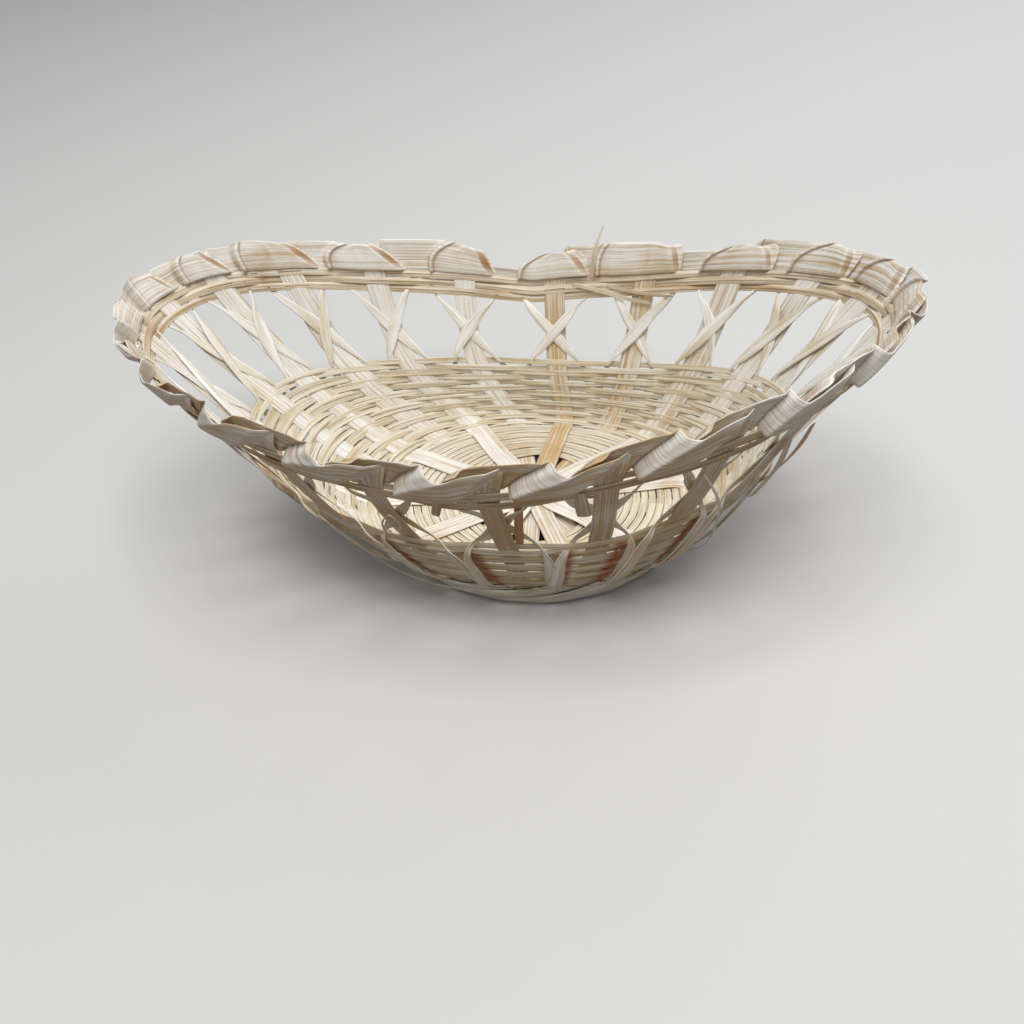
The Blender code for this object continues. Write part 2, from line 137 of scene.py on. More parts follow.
# Distances along a ribbon from where it comes to the inside
BORDER_TURN_LENGTH = 0.5 * MM
BORDER_TURN_GROWTH = 1.8 * MM
BORDER_RIDGE_BACK = 0.7 * MM
BORDER_RIDGE_END = 1.2 * MM
BORDER_GROOVE_END = 2.2 * MM
BORDER_LEVEL_START = 6.0 * MM

# Distances along a ribbon from its tucked end and from the start of its curl
BORDER_LEVEL_END = 1.6 * MM
BORDER_CURL = 0.9 * MM
BORDER_CURL_RAMP = 0.2 * MM
BORDER_TIP = 0.9 * MM
BORDER_TIP_HALF = 0.3 * MM
BORDER_LEAST_STEP = 0.3 * MM

# On the near long side the ribbons fold along the other slant, cross over at their top first,
# lean in at the top and sag between the stakes.
FRONT_STRONG_SLANT_share = -0.2
FRONT_TURN_GROWTH = 3.0 * MM
FRONT_OUT = 0.9 * MM
FRONT_FOLD_LOW = 4.5 * MM
FRONT_FOLD_TOP = -8.0 * MM
FRONT_TILT = 4.0 * MM
FRONT_SAG = 1.5 * MM
# Painted shade: how much browner and darker the near side's outer faces are drawn
FRONT_PAINTED_SHADE = 1.1

# Thin strands of the wall, the bowl's edge, the band and the floor
WALL_ROW_COUNT = 10
WALL_FIRST_ROW_share = 0.17
WALL_LAST_ROW_share = 0.90
STRAND_WIDTH_share = 1.08
STRAND_FRONT_WIDTH_share = 0.5
STRAND_LEAST_WIDTH = 1.05 * MM
STRAND_MOST_WIDTH = 2.6 * MM
STRAND_THICKNESS = 0.32 * MM
STRAND_SWING = 0.52 * MM
STRAND_SWING_ROUNDNESS = 0.2
STRAND_CUP = 0.05 * MM
STRAND_DRIFT_share = 0.1
STRAND_LEAN = 0.28
STRAND_FRONT_LEAN = -0.5
# Painted shade on the strands of the near side's outer face
STRAND_FRONT_PAINTED_SHADE = 0.8
ROW_OFFSETS = (-0.25, 0.25)
LOWEST_ROW_OFFSETS = (-1.75, -1.25, -0.75, -0.25, 0.25)
ROW_DRIFT_share = 0.1
EDGE_STRAND_WIDTH = 2.35 * MM
EDGE_STRAND_SPACING = 2.0 * MM
EDGE_DRIFT = 0.15 * MM
BAND_ROW_COUNT = 3
BAND_FIRST_DEPTH = 13.9 * MM
BAND_ROW_SPACING = 2.9 * MM
BAND_STRAND_WIDTH = 1.62 * MM
BAND_STRAND_SPACING = 1.45 * MM
BAND_DRIFT = 0.22 * MM
BAND_LEANS = (0.4, -0.15)
BAND_LOWER_DEPTH = 20.8 * MM
SEAM_STAKE = 12
SEAM_LAP_share = 0.3
RING_STATION_COUNT = 252
FILL_ROW_COUNT = 4
FILL_OUTER_share = 0.935
FILL_INNER_RADIUS = 26.5 * MM
FILL_STRANDS_PER_ROW = 3
FILL_WIDTH_share = 0.93
FILL_THICKNESS = 0.3 * MM
FILL_CUP = 0.02 * MM
FILL_WEAVE = 0.08 * MM
FILL_DRIFT = 0.12 * MM
FILL_DRIFT_share = 0.002
FILL_MOST_TONE = 0.6
FILL_STATION_COUNT = 126

# Brown stretches of the wall, each with its place counted in stakes and its reach in gaps
BROWN_DEPTH = 0.95
BROWN_PATCHES = ((15.62, 0.07), (16.66, 0.06), (17.3, 0.12), (14.45, 0.08), (18.4, 0.12))

# Lacing
LACE_STRIP_COUNT = 7
LACE_WIDTH = 4.5 * MM
LACE_TURN_WIDTH = 1.2 * MM
LACE_LAP = 0.55 * MM
LACE_BLUNT = 1.6 * MM
LACE_THICKNESS = 0.45 * MM
LACE_NEAR = 0.85 * MM
LACE_FAR = 1.6 * MM
LACE_CUP = -0.3 * MM
LACE_FOOT_WIDTH = 2.6 * MM
LACE_LOW_WIDTH = 4.3 * MM
LACE_SIDE_WIDTH = 3.3 * MM
LACE_EDGE_WIDTH = 2.2 * MM
LACE_SLIP_WIDTH = 1.3 * MM
LACE_HIGH_WIDTH = 1.1 * MM
LACE_TOP_WIDTH = 1.0 * MM
LACE_FOOT_OUT = 1.9 * MM
LACE_LOW_OUT = 2.3 * MM
LACE_BULGE_OUT = 2.6 * MM
LACE_EDGE_OUT = 2.5 * MM
LACE_TURN_OUT = 1.7 * MM
LACE_SLIP_OUT = 0.1 * MM
LACE_HIGH_OUT = -0.2 * MM
LACE_TOP_OUT = 1.3 * MM
# Painted shade on the lacing towards the near side: where it starts, over how far it grows and how
# strong it is
LACE_SHADE_START = 20.0 * MM
LACE_SHADE_LENGTH = 25.0 * MM
LACE_FRONT_PAINTED_SHADE = 1.0

# Loose ends, fibres and loops: the piece each belongs to, its tone and stain, and its spots.
# A spot is the place in stakes, the level, the millimetres outwards and wide, and the twist.
LOOSE_THICKNESS = 0.22 * MM
LOOSE_CUP = 0.1 * MM
LOOSE_STRIPS = (
    ("band_pair_3", 0.5, 0.0, (
        (4.80, 1.67, -1.0, 1.5, 0.0), (4.48, 1.62, -1.6, 1.6, 0.0), (4.18, 1.56, -1.7, 1.5, 0.1),
        (3.88, 1.52, -1.4, 1.3, 0.2))),
    ("band_pair_3", 0.9, 0.1, (
        (4.40, 1.66, -1.2, 1.3, 0.0), (4.02, 1.60, -1.8, 1.4, 0.1), (3.62, 1.57, -1.5, 1.2, 0.3))),
    ("band_pair_1", 0.2, 0.0, (
        (4.57, 1.72, -1.2, 0.9, 0.0), (4.56, 1.82, -2.4, 1.5, 0.1), (4.54, 1.93, -3.6, 1.5, 0.2),
        (4.50, 2.04, -3.4, 1.0, 0.4), (4.47, 2.13, -2.6, 0.5, 0.6))),
    ("laced_strip_6", 0.4, 0.1, (
        (14.80, 1.02, 1.2, 0.7, 0.0), (14.87, 1.18, 2.6, 0.8, 0.2), (14.97, 1.37, 3.2, 0.8, 0.4),
        (15.10, 1.48, 3.0, 0.7, 0.8), (15.14, 1.38, 3.0, 0.7, 0.4), (15.03, 1.20, 2.4, 0.7, 0.2),
        (14.98, 1.04, 1.0, 0.7, 0.0))),
    ("laced_strip_1", 0.3, 0.1, (
        (17.90, 1.55, 1.0, 0.8, 0.0), (18.05, 1.42, 2.6, 0.9, 0.2), (18.34, 1.17, 3.6, 1.0, 0.3),
        (18.80, 0.73, 4.4, 1.0, 0.3), (19.20, 0.35, 4.2, 0.9, 0.2), (19.40, 0.12, 3.0, 0.8, 0.0))),
    ("band_pair_2", 0.7, 0.1, (
        (16.77, 1.70, 1.3, 3.4, 0.0), (16.78, 1.62, 1.9, 4.2, 0.0), (16.79, 1.52, 2.2, 4.4, 0.1),
        (16.80, 1.46, 2.2, 4.2, 0.1))),
    ("band_pair_2", 0.9, 0.2, (
        (15.62, 1.78, 1.3, 2.6, 0.0), (15.59, 1.68, 1.9, 3.0, 0.0), (15.53, 1.53, 2.2, 2.8, 0.1))),
    ("band_pair_3", 0.3, 0.0, (
        (18.95, 1.50, 1.2, 2.6, 0.0), (19.15, 1.25, 3.0, 3.4, 0.1), (19.34, 1.02, 3.8, 3.6, 0.2),
        (19.52, 0.80, 4.0, 3.4, 0.3))),
    # These two orange strips take the lacing's brighter brown, which stands partly for light shining
    # through them
    ("laced_strip_1", 0.6, 0.85, (
        (16.25, 1.66, -0.9, 2.2, 0.0), (16.23, 1.52, -1.3, 2.8, 0.1), (16.17, 1.25, -1.3, 3.0, 0.1),
        (16.12, 1.02, -1.0, 2.6, 0.0))),
    ("laced_strip_1", 0.8, 0.9, (
        (19.22, 1.55, 1.4, 2.4, 0.0), (19.42, 1.30, 2.8, 4.2, 0.1), (19.56, 1.06, 3.4, 4.4, 0.1),
        (19.70, 0.82, 2.4, 3.0, 0.1))),
    ("laced_strip_2", 0.6, 0.2, (
        (13.30, 0.62, 2.0, 0.6, 0.0), (13.80, 0.30, 4.4, 0.6, 0.3), (14.60, 0.10, 5.0, 0.6, 0.5),
        (15.30, 0.12, 3.6, 0.5, 0.2))))

# Foot
FOOT_HALF_LENGTH = 51.1 * MM
FOOT_HALF_WIDTH = 39.8 * MM
FOOT_TOP = 12.5 * MM
FOOT_STRAND_COUNT = 4
FOOT_STRIP_WIDTHS = (3.7 * MM, 2.1 * MM, 2.7 * MM)
FOOT_STRIP_SPREAD_share = 0.09
FOOT_STRIP_THICKNESS = 0.5 * MM
FOOT_WAVE_COUNT = 2
FOOT_WAVE_DEPTH = 2.1 * MM
FOOT_WAVE_STEP = 0.5 * MM
FOOT_DRIFT = 0.25 * MM
FOOT_DRIFT_share = 0.12
FOOT_CUP = 0.3 * MM
FOOT_CLEARANCE = 0.05 * MM
FOOT_STATION_COUNT = 200
TWINE_LEVEL = 0.085
TWINE_OUT = 1.7 * MM
TWINE_WIDTH = 0.9 * MM
TWINE_CUP = 0.1 * MM
TWINE_SWING = 0.55 * MM
TWINE_RISE = 0.66 * MM
TWINE_TURN_COUNT = 34
TWINE_TONE = 0.9
TWINE_STAIN = 0.25

# Grain of the split bamboo: its fibres, the broader streaks and the blotches
GRAIN_LENGTH = 34.0 * MM
STREAK_LENGTH = 60.0 * MM
STREAK_WIDTH = 1.1 * MM
BLOTCH_SIZE = 17.0 * MM
BUMP_DEPTH = 0.16 * MM

# Camera and room
CAMERA_PLACE = (72.6 * MM, -276.0 * MM, 264.1 * MM)
CAMERA_YAW = -0.260
CAMERA_PITCH = 0.736
CAMERA_ROLL = -0.113
CAMERA_LENS_MM = 35.86
CAMERA_SENSOR_MM = 36.0
CAMERA_NEAREST = 10.0 * MM
FLOOR_SIZE = 6.0
LAMP_SIZE = 0.7
LAMP_AIM = (0.0, 0.0, 50.0 * MM)
WINDOW_PLACE = (0.1, -0.22, 1.15)
WINDOW_WATTS = 11.6
BACK_LIGHT_PLACE = (0.45, 0.75, 0.65)
BACK_LIGHT_WATTS = 3.0
SKY_STRENGTH = 0.3

PROBE_share = 0.001
UP = np.array((0.0, 0.0, 1.0))
STAKE_STEP = math.tau / STAKE_COUNT
RING_TURNS = np.linspace(-SEAM_LAP_share, STAKE_COUNT + SEAM_LAP_share, RING_STATION_COUNT)
RING_ANGLES = (SEAM_STAKE + RING_TURNS) * STAKE_STEP
dice = random.Random(21)


def unit(vectors):
    return vectors / np.linalg.norm(vectors, axis=-1, keepdims=True)


class Oval:
    """One level of the basket: an oval in plan whose height rises towards its two ends."""

    def __init__(self, half_length, half_width, shift, exponent, heights, rise):
        self.half_length = half_length
        self.half_width = half_width
        self.shift = shift
        self.power = 2.0 / exponent
        self.back, self.front, self.left, self.right = heights
        self.rise = rise

    def points(self, angle):
        cosine, sine = np.cos(angle), np.sin(angle)
        end = np.where(cosine > 0.0, self.right, self.left)
        middle = np.where(sine > 0.0, self.back, self.front)
        x = self.shift + self.half_length * np.sign(cosine) * np.abs(cosine) ** self.power
        y = self.half_width * np.sign(sine) * np.abs(sine) ** self.power
        z = middle + (end - middle) * np.abs(cosine) ** self.rise
        return np.stack([x, y, z], axis=-1)


FLOOR = Oval(FLOOR_HALF_LENGTH, FLOOR_HALF_WIDTH, FLOOR_SHIFT, FLOOR_OVAL_EXPONENT,
             [FLOOR_HEIGHT] * 4, 1.0)
BOWL = Oval(BOWL_HALF_LENGTH, BOWL_HALF_WIDTH, BOWL_SHIFT, BOWL_OVAL_EXPONENT,
            BOWL_HEIGHTS, BOWL_RISE_EXPONENT)
RIM = Oval(RIM_HALF_LENGTH, RIM_HALF_WIDTH, RIM_SHIFT, RIM_OVAL_EXPONENT,
           RIM_HEIGHTS, RIM_RISE_EXPONENT)
FLOOR_CENTRE = np.array((FLOOR_SHIFT, 0.0, FLOOR_HEIGHT))


def hermite(start, end, start_slope, end_slope, t):
    """Point at t from 0 to 1 on a cubic curve with the given end points and slopes."""
    square = t * t
    cube = square * t
    return (start * (2 * cube - 3 * square + 1) + start_slope * (cube - 2 * square + t)
            + end * (3 * square - 2 * cube) + end_slope * (cube - square))


def at_stakes(shares, angle):
    """Value between the stakes of a list that gives one share for each stake."""
    spot = (np.asarray(angle) / STAKE_STEP) % STAKE_COUNT
    first = np.floor(spot).astype(int)
    blend = (1.0 - np.cos(math.pi * (spot - first))) / 2
    table = np.array(shares)
    return table[first % STAKE_COUNT] * (1.0 - blend) + table[(first + 1) % STAKE_COUNT] * blend


def wall(angle, level):
    """Points on the wall: level 0 is the floor's edge, 1 the bowl's edge and 2 the rim."""
    angle, level = np.broadcast_arrays(np.asarray(angle, float), np.asarray(level, float))
    floor, bowl, rim = FLOOR.points(angle), BOWL.points(angle), RIM.points(angle)
    lower, upper = bowl - floor, rim - bowl
    length = np.linalg.norm(lower, axis=-1, keepdims=True)
    upper_length = np.linalg.norm(upper, axis=-1, keepdims=True)
    bend = unit(unit(lower) + unit(upper))
    start = lower + (unit(floor - FLOOR_CENTRE) * length - lower) * FLOOR_TURN_share
    height = level[..., None]
    below = hermite(floor, bowl, start, bend * length, height)
    above = hermite(bowl, rim, bend * upper_length, upper, height - 1.0)
    point = np.where(height <= 1.0, below, above)
    lift = RIM_LIFT * at_stakes(RIM_LIFT_shares, angle) * np.clip(level - 1.0, 0.0, None) ** 2
    return point + UP * lift[..., None]


def frames(angle, level):
    """Points on the wall with the directions along the ring, up the wall and outwards."""
    along = wall(angle + PROBE_share, level) - wall(angle - PROBE_share, level)
    up = unit(wall(angle, level + PROBE_share) - wall(angle, level - PROBE_share))
    out = unit(np.cross(along, up))
    return wall(angle, level), np.cross(up, out), up, out


def place(angle, level, sideways, outwards, upwards):
    """Points set off from the wall by the given distances."""
    point, along, up, out = frames(np.asarray(angle, float), np.asarray(level, float))
    shift = [np.asarray(value, float)[..., None] for value in (sideways, outwards, upwards)]
    return point + along * shift[0] + out * shift[1] + up * shift[2]


def level_below_rim(angle, depth):
    return 2.0 - depth / np.linalg.norm(RIM.points(angle) - BOWL.points(angle), axis=-1)


def open_level(angle, share):
    """Level in the open zone: share 0 is the bowl's edge and 1 the band's lower side."""
    return 1.0 + (level_below_rim(angle, BAND_LOWER_DEPTH) - 1.0) * share


def smooth_step(value):
    value = np.clip(value, 0.0, 1.0)
    return value * value * (3.0 - 2.0 * value)


def wander(seed, turns, angle):
    """Slow irregular swing between about -1 and 1 round the ring."""
    return (np.sin(turns * angle + seed * 1.7) + np.sin((turns + 3) * angle + seed * 2.9)) / 2


def smooth_rows(rows, steps):
    """Rows on a smooth curve through the given rows, with steps between each two."""
    rows = np.asarray(rows, float)
    flat = rows.reshape(len(rows), -1)
    gaps = np.linalg.norm(np.diff(flat[:, :3], axis=0), axis=1) + 1e-9
    spots = np.concatenate([[0.0], np.cumsum(gaps)])
    slopes = np.gradient(flat, spots, axis=0)
    result = []
    for first in range(len(rows) - 1):
        gap = gaps[first]
        for step in range(steps):
            result.append(hermite(flat[first], flat[first + 1], slopes[first] * gap,
                                  slopes[first + 1] * gap, step / steps))
    result.append(flat[-1])
    return np.array(result).reshape(-1, *rows.shape[1:])


def lay_strip(name, points, thickness, finish, tone_and_painted_light, stain_and_painted_light=0.0, closed=False):
    """Flat grid laid out along rows of points, one row for each station along the strip.

    The map keeps real lengths, so that the fibres run along the strip at their true size, and
    starts at a place of its own, so that no two strips have the same grain.
    """
    count, across = points.shape[:2]
    bpy.ops.object.select_all(action="DESELECT")
    bpy.ops.mesh.primitive_grid_add(x_subdivisions=count - 1, y_subdivisions=across - 1, size=1.0)
    strip = bpy.context.active_object
    strip.name = name
    mesh = strip.data
    mesh.name = name
    start = np.empty(len(mesh.vertices) * 3)
    mesh.vertices.foreach_get("co", start)
    start = start.reshape(-1, 3)
    station = np.rint((start[:, 0] + 0.5) * (count - 1)).astype(int)
    spot = np.rint((start[:, 1] + 0.5) * (across - 1)).astype(int)
    mesh.vertices.foreach_set("co", points[station, spot].ravel())
    steps = np.linalg.norm(np.diff(points[:, across // 2], axis=0), axis=-1)
    lengths = np.concatenate([[0.0], np.cumsum(steps)]) + dice.uniform(0.0, 3.0)
    width = np.median(np.linalg.norm(points[:, -1] - points[:, 0], axis=-1))
    widths = np.linspace(-0.5, 0.5, across) * width + dice.uniform(0.0, 1.0)
    chart = np.stack([lengths[station], widths[spot]], axis=-1)
    corners = np.empty(len(mesh.loops), int)
    mesh.loops.foreach_get("vertex_index", corners)
    mesh.uv_layers[0].name = "UVMap"
    mesh.uv_layers[0].data.foreach_set("uv", chart[corners].ravel())
    for label, values in (("tone_and_painted_light", tone_and_painted_light), ("stain_and_painted_light", stain_and_painted_light)):
        values = np.broadcast_to(np.asarray(values, float), (count, across))
        layer = mesh.attributes.new(label, "FLOAT", "POINT")
        layer.data.foreach_set("value", values[station, spot].astype(np.float32))
    if closed:
        bpy.ops.object.mode_set(mode="EDIT")
        bpy.ops.mesh.select_all(action="SELECT")
        bpy.ops.mesh.remove_doubles(threshold=0.01 * MM)
        bpy.ops.object.mode_set(mode="OBJECT")
    mesh.materials.append(finish)
    solid = strip.modifiers.new("Thickness", "SOLIDIFY")
    solid.thickness = thickness
    solid.offset = 0.0
    rounding = strip.modifiers.new("Rounding", "SUBSURF")
    rounding.levels = 1
    rounding.render_levels = 1
    for modifier in (solid.name, rounding.name):
        bpy.ops.object.modifier_apply(modifier=modifier)
    bpy.ops.object.shade_smooth()
    return strip


def join_piece(name, strips, node):
    """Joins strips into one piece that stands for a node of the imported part."""
    bpy.ops.object.select_all(action="DESELECT")
    for strip in strips:
        strip.select_set(True)
    bpy.context.view_layer.objects.active = strips[0]
    if len(strips) > 1:
        bpy.ops.object.join()
    piece = strips[0]
    piece.name = name
    piece.data.name = name
    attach(piece, "root")
    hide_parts(node)


def across_rows(centre, side, normal, width, cup, count):
    """Rows of points across a strip, with its middle raised by the cup."""
    spots = np.linspace(-0.5, 0.5, count)
    bulge = (1.0 - 4.0 * spots * spots) * cup
    width = np.broadcast_to(np.asarray(width, float), (len(centre),))
    return (centre[:, None] + side[:, None] * (width[:, None] * spots)[..., None]
            + normal[:, None] * bulge[None, :, None])


# Stakes


def floor_layer(index):
    """Height step of a stake's inner end, so that the lapped ends lie on one another."""
    rank = index // 2
    if index == STAKE_COUNT - 1:
        return -3
    if index % 2 == 1:
        return 1 + rank % 2
    return -1 - rank % 2


def stake_floor_rows(index, width_share):
    """A stake on the floor, from its lapped tip out to where it turns up."""
    edge = FLOOR.points(np.array(index * STAKE_STEP))
    radius = np.linalg.norm(edge - FLOOR_CENTRE)
    outward = unit(edge - FLOOR_CENTRE)
    side = np.cross(UP, outward)
    layer = floor_layer(index)
    inner = layer * LAYER + STAKE_TIP_STEP * (index // 4)
    outer = math.copysign(max(1, abs(layer) - 1), layer) * LAYER
    wide = STAKE_FLOOR_WIDTH * width_share
    runs = ((STAKE_TIP_RADIUS, STAKE_TIP_WIDTH, inner),
            (STAKE_TAPER_RADIUS, wide, inner),
            (radius * (STAKE_TAPER_RADIUS / radius + STAKE_LAP_share) / 2, wide, inner),
            (radius * STAKE_LAP_share, wide, inner),
            (radius * STAKE_SPREAD_share, wide, outer),
            ((radius * STAKE_SPREAD_share + radius - STAKE_CORNER_REACH) / 2, wide, outer),
            (radius - STAKE_CORNER_REACH, wide, math.copysign(LAYER, layer)))
    centre = np.array([FLOOR_CENTRE + outward * distance + UP * height for distance, _, height in runs])
    width = np.array([width for _, width, _ in runs])
    return across_rows(centre, side[None], UP[None], width, 0.0, STAKE_LINE_COUNT)


def stake_wall_rows(index, width_share):
    """A stake from the floor's edge up to the band. Its top keeps the full width for the border."""
    angle = index * STAKE_STEP
    levels = list(WALL_STATION_shares)
    levels.extend(open_level(angle, share) for share in OPEN_STATION_shares)
    levels = np.array(levels)
    point, along, _, out = frames(np.full(len(levels), angle), levels)
    drift = STAKE_DRIFT * np.sin(levels * 7.0 + index * 2.3)
    point = point + out * drift[:, None]
    widening = smooth_step((levels - STAKE_WIDENING_LEVEL) / STAKE_WIDENING_REACH)
    width = STAKE_WALL_WIDTH * (width_share * (1.0 - widening) + widening)
    return across_rows(point, along, out, width, -STAKE_CUP, STAKE_LINE_COUNT)


def front_share(angle):
    """How far a place lies on the near long side, from 0 to 1."""
    return smooth_step((0.1 - np.sin(angle)) / 0.6)


def shade_share(angle):
    """How much painted shade browns the outer face at a place, from 0 to 1."""
    return smooth_step((-np.sin(angle) - 0.35) / 0.4)


def on_near_side(index):
    """Whether a stake's ribbon is folded the way of the near long side."""
    return bool(front_share(index * STAKE_STEP) > 0.5)


def line_heights(index):
    """Heights of the lines along a border ribbon, in the order of its stake's lines.

    A stake of the near side leads its right edge to the ribbon's top, and any other its left.
    """
    height = np.linspace(1.0, 0.0, STAKE_LINE_COUNT)
    return height[::-1] if on_near_side(index) else height


def fold_reach(index, height):
    """Distance along the rim from the stake's middle to its fold, at each height."""
    if on_near_side(index):
        return FRONT_FOLD_LOW + (FRONT_FOLD_TOP - FRONT_FOLD_LOW) * height
    edge = STAKE_WALL_WIDTH / 2
    return -edge + (edge + BORDER_WIDTH / 2) * height


def fold_rows(index, pitch, depth, lift):
    """A stake's top, up to the slanting line where the strip turns to run along the rim."""
    height = line_heights(index)
    edge = STAKE_WALL_WIDTH / 2
    start = np.linspace(edge, -edge, STAKE_LINE_COUNT)
    if on_near_side(index):
        rises, behind = (0.2, 0.4, 0.6, 0.8), 0.0
    else:
        rises, behind = (0.2, 0.4, 0.6, 0.8, 1.0), 0.75 * BORDER_FOLD_LAYER
    rows = []
    for rise in rises:
        reach = start + (fold_reach(index, height) - start) * rise
        angle = (index - reach / pitch * rise) * STAKE_STEP
        level = level_below_rim(angle, BORDER_DEPTH)
        upwards = lift * rise - BORDER_FOLD_DROP * (1.0 - rise)
        outwards = (depth - behind) * rise ** 3
        rows.append(place(angle, level, -reach * (1.0 - rise), outwards, upwards))
    return np.array(rows)


def soften(values, rounds):
    """Evens out values along the first axis and keeps both ends."""
    for _ in range(rounds):
        values = np.concatenate([values[:1], (values[:-2] + 2.0 * values[1:-1] + values[2:]) / 4,
                                 values[-1:]])
    return values


class Ribbon:
    """The lines across a border ribbon where it folds, comes to the inside and ends.

    Each line holds one value for every height across the ribbon, counted in gaps between stakes
    from the ribbon's own stake. The pitch is the length of a gap, and the turn that of the twist
    where the ribbon comes to the inside.
    """

    def __init__(self, index, pitch):
        self.index = index
        self.pitch = pitch
        self.height = line_heights(index)
        self.front = front_share(index * STAKE_STEP)
        slant = BORDER_SLANT_shares[index]
        bow = 3.0 if slant > 0.0 else 1.3
        growth = BORDER_TURN_GROWTH if slant > FRONT_STRONG_SLANT_share else FRONT_TURN_GROWTH
        top, low = BORDER_END_TOP_shares[index], BORDER_END_LOW_shares[index]
        self.fold = fold_reach(index, self.height) / pitch
        self.cross = BORDER_CROSS_shares[index] + slant * self.height ** bow
        self.turn = BORDER_TURN_LENGTH + growth * self.height ** 2
        self.end = top + (low - top) * np.sqrt(1.0 - self.height)


def ribbon_knots(ribbon):
    """The ribbon's course: a line, the distance beyond it, the depth outwards and the brown.

    It leaves the fold, lies outside the wall, comes to the inside over a sharp ridge kept pale as a
    painted highlight and a groove browned as painted shade, and ends in a crescent that is rolled
    out and tucked away. The crescent's brown is partly the skin's own colour and partly painted
    shade and warm bounced light, and its tip is kept pale as a painted highlight.
    """
    height, fold, cross, turn, end = ribbon.height, ribbon.fold, ribbon.cross, ribbon.turn, ribbon.end
    swell = BORDER_SWELL * (1.0 - (2.0 * height - 1.0) ** 2)
    out = BORDER_OUT + BORDER_OUT_LEAN * height + swell + FRONT_OUT * ribbon.front
    tilt = FRONT_TILT * ribbon.front * height ** 2
    inside = -(BORDER_IN + BORDER_IN_LEAN * height + swell)
    tuck = BORDER_TUCK_LOW + (BORDER_TUCK_TOP - BORDER_TUCK_LOW) * height
    share = BORDER_CRESCENT_shares[ribbon.index]
    crescent = np.sin(math.pi * np.clip(height, 0.04, 0.96)) ** 0.7 * share ** 0.4
    curl = BORDER_CURL + BORDER_CRESCENT * share * crescent
    flap = 0.4 * BORDER_TWIST_shares[ribbon.index] * height
    # The last column is the brown: painted shade where the ribbon turns in and in the groove, a painted
    # highlight below zero that keeps the ridge and tip clear of brown, and in the crescent the skin's
    # own brown with painted shade
    return ((fold, 0.0, BORDER_FOLD_LAYER - tilt, 0.1),
            (fold + 0.14, 0.0, out * 0.85 - tilt * 0.5, 0.0),
            (cross, -1.6 * turn, out, 0.0),
            (cross, -0.5 * turn, out * 0.4, 0.3),
            (cross, 0.0, inside - BORDER_RIDGE, -0.4),
            (cross, BORDER_RIDGE_BACK, inside - BORDER_RIDGE * 0.5, 0.1),
            (cross, BORDER_RIDGE_END, inside + BORDER_GROOVE * 0.6, 0.65),
            (cross, BORDER_GROOVE_END, inside + BORDER_GROOVE, 0.15),
            (cross, BORDER_LEVEL_START, inside, 0.0),
            (end, -curl - BORDER_LEVEL_END, inside, 0.0),
            (end, -curl - BORDER_TIP_HALF, inside * 0.95, 0.0),
            (end, -curl + BORDER_CURL_RAMP, inside * 0.8, 0.75 * crescent),
            (end, -curl * 0.4, inside * 0.35 + tuck * 0.5, 0.95 * crescent),
            (end, -BORDER_CURL_RAMP, tuck, 0.8 * crescent),
            (end, BORDER_TIP_HALF, tuck + BORDER_TIP_LIFT / 3 * height, -0.6),
            (end + flap, BORDER_TIP, tuck + BORDER_TIP_LIFT * height, -0.6))


def ribbon_stations(ribbon):
    """Reach, depth and share of brown at even stations along the ribbon, for every height."""
    reaches, depths, browns = [], [], []
    for line, distance, depth, brown in ribbon_knots(ribbon):
        reach = line + distance / ribbon.pitch
        if reaches:
            reach = np.maximum(reach, reaches[-1] + BORDER_LEAST_STEP / ribbon.pitch)
        reaches.append(reach)
        depths.append(depth + 0.0 * ribbon.height)
        browns.append(brown + 0.0 * ribbon.height)
    reaches, depths, browns = np.array(reaches), np.array(depths), np.array(browns)
    middle = STAKE_LINE_COUNT // 2
    gaps = np.hypot(np.diff(reaches[:, middle]) * ribbon.pitch, np.diff(depths[:, middle]))
    marks = np.concatenate([[0.0], np.cumsum(gaps)])
    steps = np.linspace(0.0, marks[-1], BORDER_STATION_COUNT)

    def spread(table):
        lines = [np.interp(steps, marks, table[:, line]) for line in range(STAKE_LINE_COUNT)]
        return np.stack(lines, axis=1)

    return soften(spread(reaches), 2), soften(spread(depths), 2), spread(browns)


def border_rows(index, pitch):
    """A stake's level end: outside its own stake, then in an arch inside the next one.

    Also gives its shares of brown, which are the skin's colour with painted shade and highlight,
    the depth and lift of its first row, how far each place lies along the arch, and how much it
    faces the light where the near side's ribbons turn up.
    """
    ribbon = Ribbon(index, pitch)
    height, front, cross, end = ribbon.height, ribbon.front, ribbon.cross, ribbon.end
    reach, depth, brown = ribbon_stations(ribbon)
    crease = (reach - 1.0 - BORDER_CREASE_shares[index]) * pitch / BORDER_CREASE_LENGTH
    depth = depth - BORDER_CREASE * np.exp(-crease ** 2)
    before = smooth_step((cross + 0.1 - reach) / 0.1)
    outer = smooth_step((reach - 0.12) / 0.2) * smooth_step((cross + 0.02 - reach) / 0.16)
    slope = BORDER_SLOPE_shares[index] * np.clip(reach - cross, 0.0, None) / 0.6
    rise = 1.0 - 0.04 * before - BORDER_DIP_shares[index] * outer + slope - max(slope.max(), 0.0)
    opening = front * np.exp(-((reach - ribbon.fold) * pitch / BORDER_ROUND_LENGTH) ** 2)
    closing = np.exp(-((reach - end) * pitch / BORDER_ROUND_LENGTH) ** 2)
    rise = rise * (1.0 - BORDER_ROUND_share * opening - BORDER_CLOSING_share * closing)
    lift = height * BORDER_WIDTH * rise + BORDER_ROUND_LIFT * opening - FRONT_SAG * front * outer
    angle = (index - reach) * STAKE_STEP
    points = place(angle, level_below_rim(angle, BORDER_DEPTH), 0.0, depth, lift)
    along = np.clip((reach - cross) / (end - cross), 0.0, 1.0)
    crossing = front * np.exp(-((reach - cross) * pitch / (1.1 * ribbon.turn) + 0.8) ** 2)
    return points, brown, depth[0], lift[0], along, opening * height + crossing


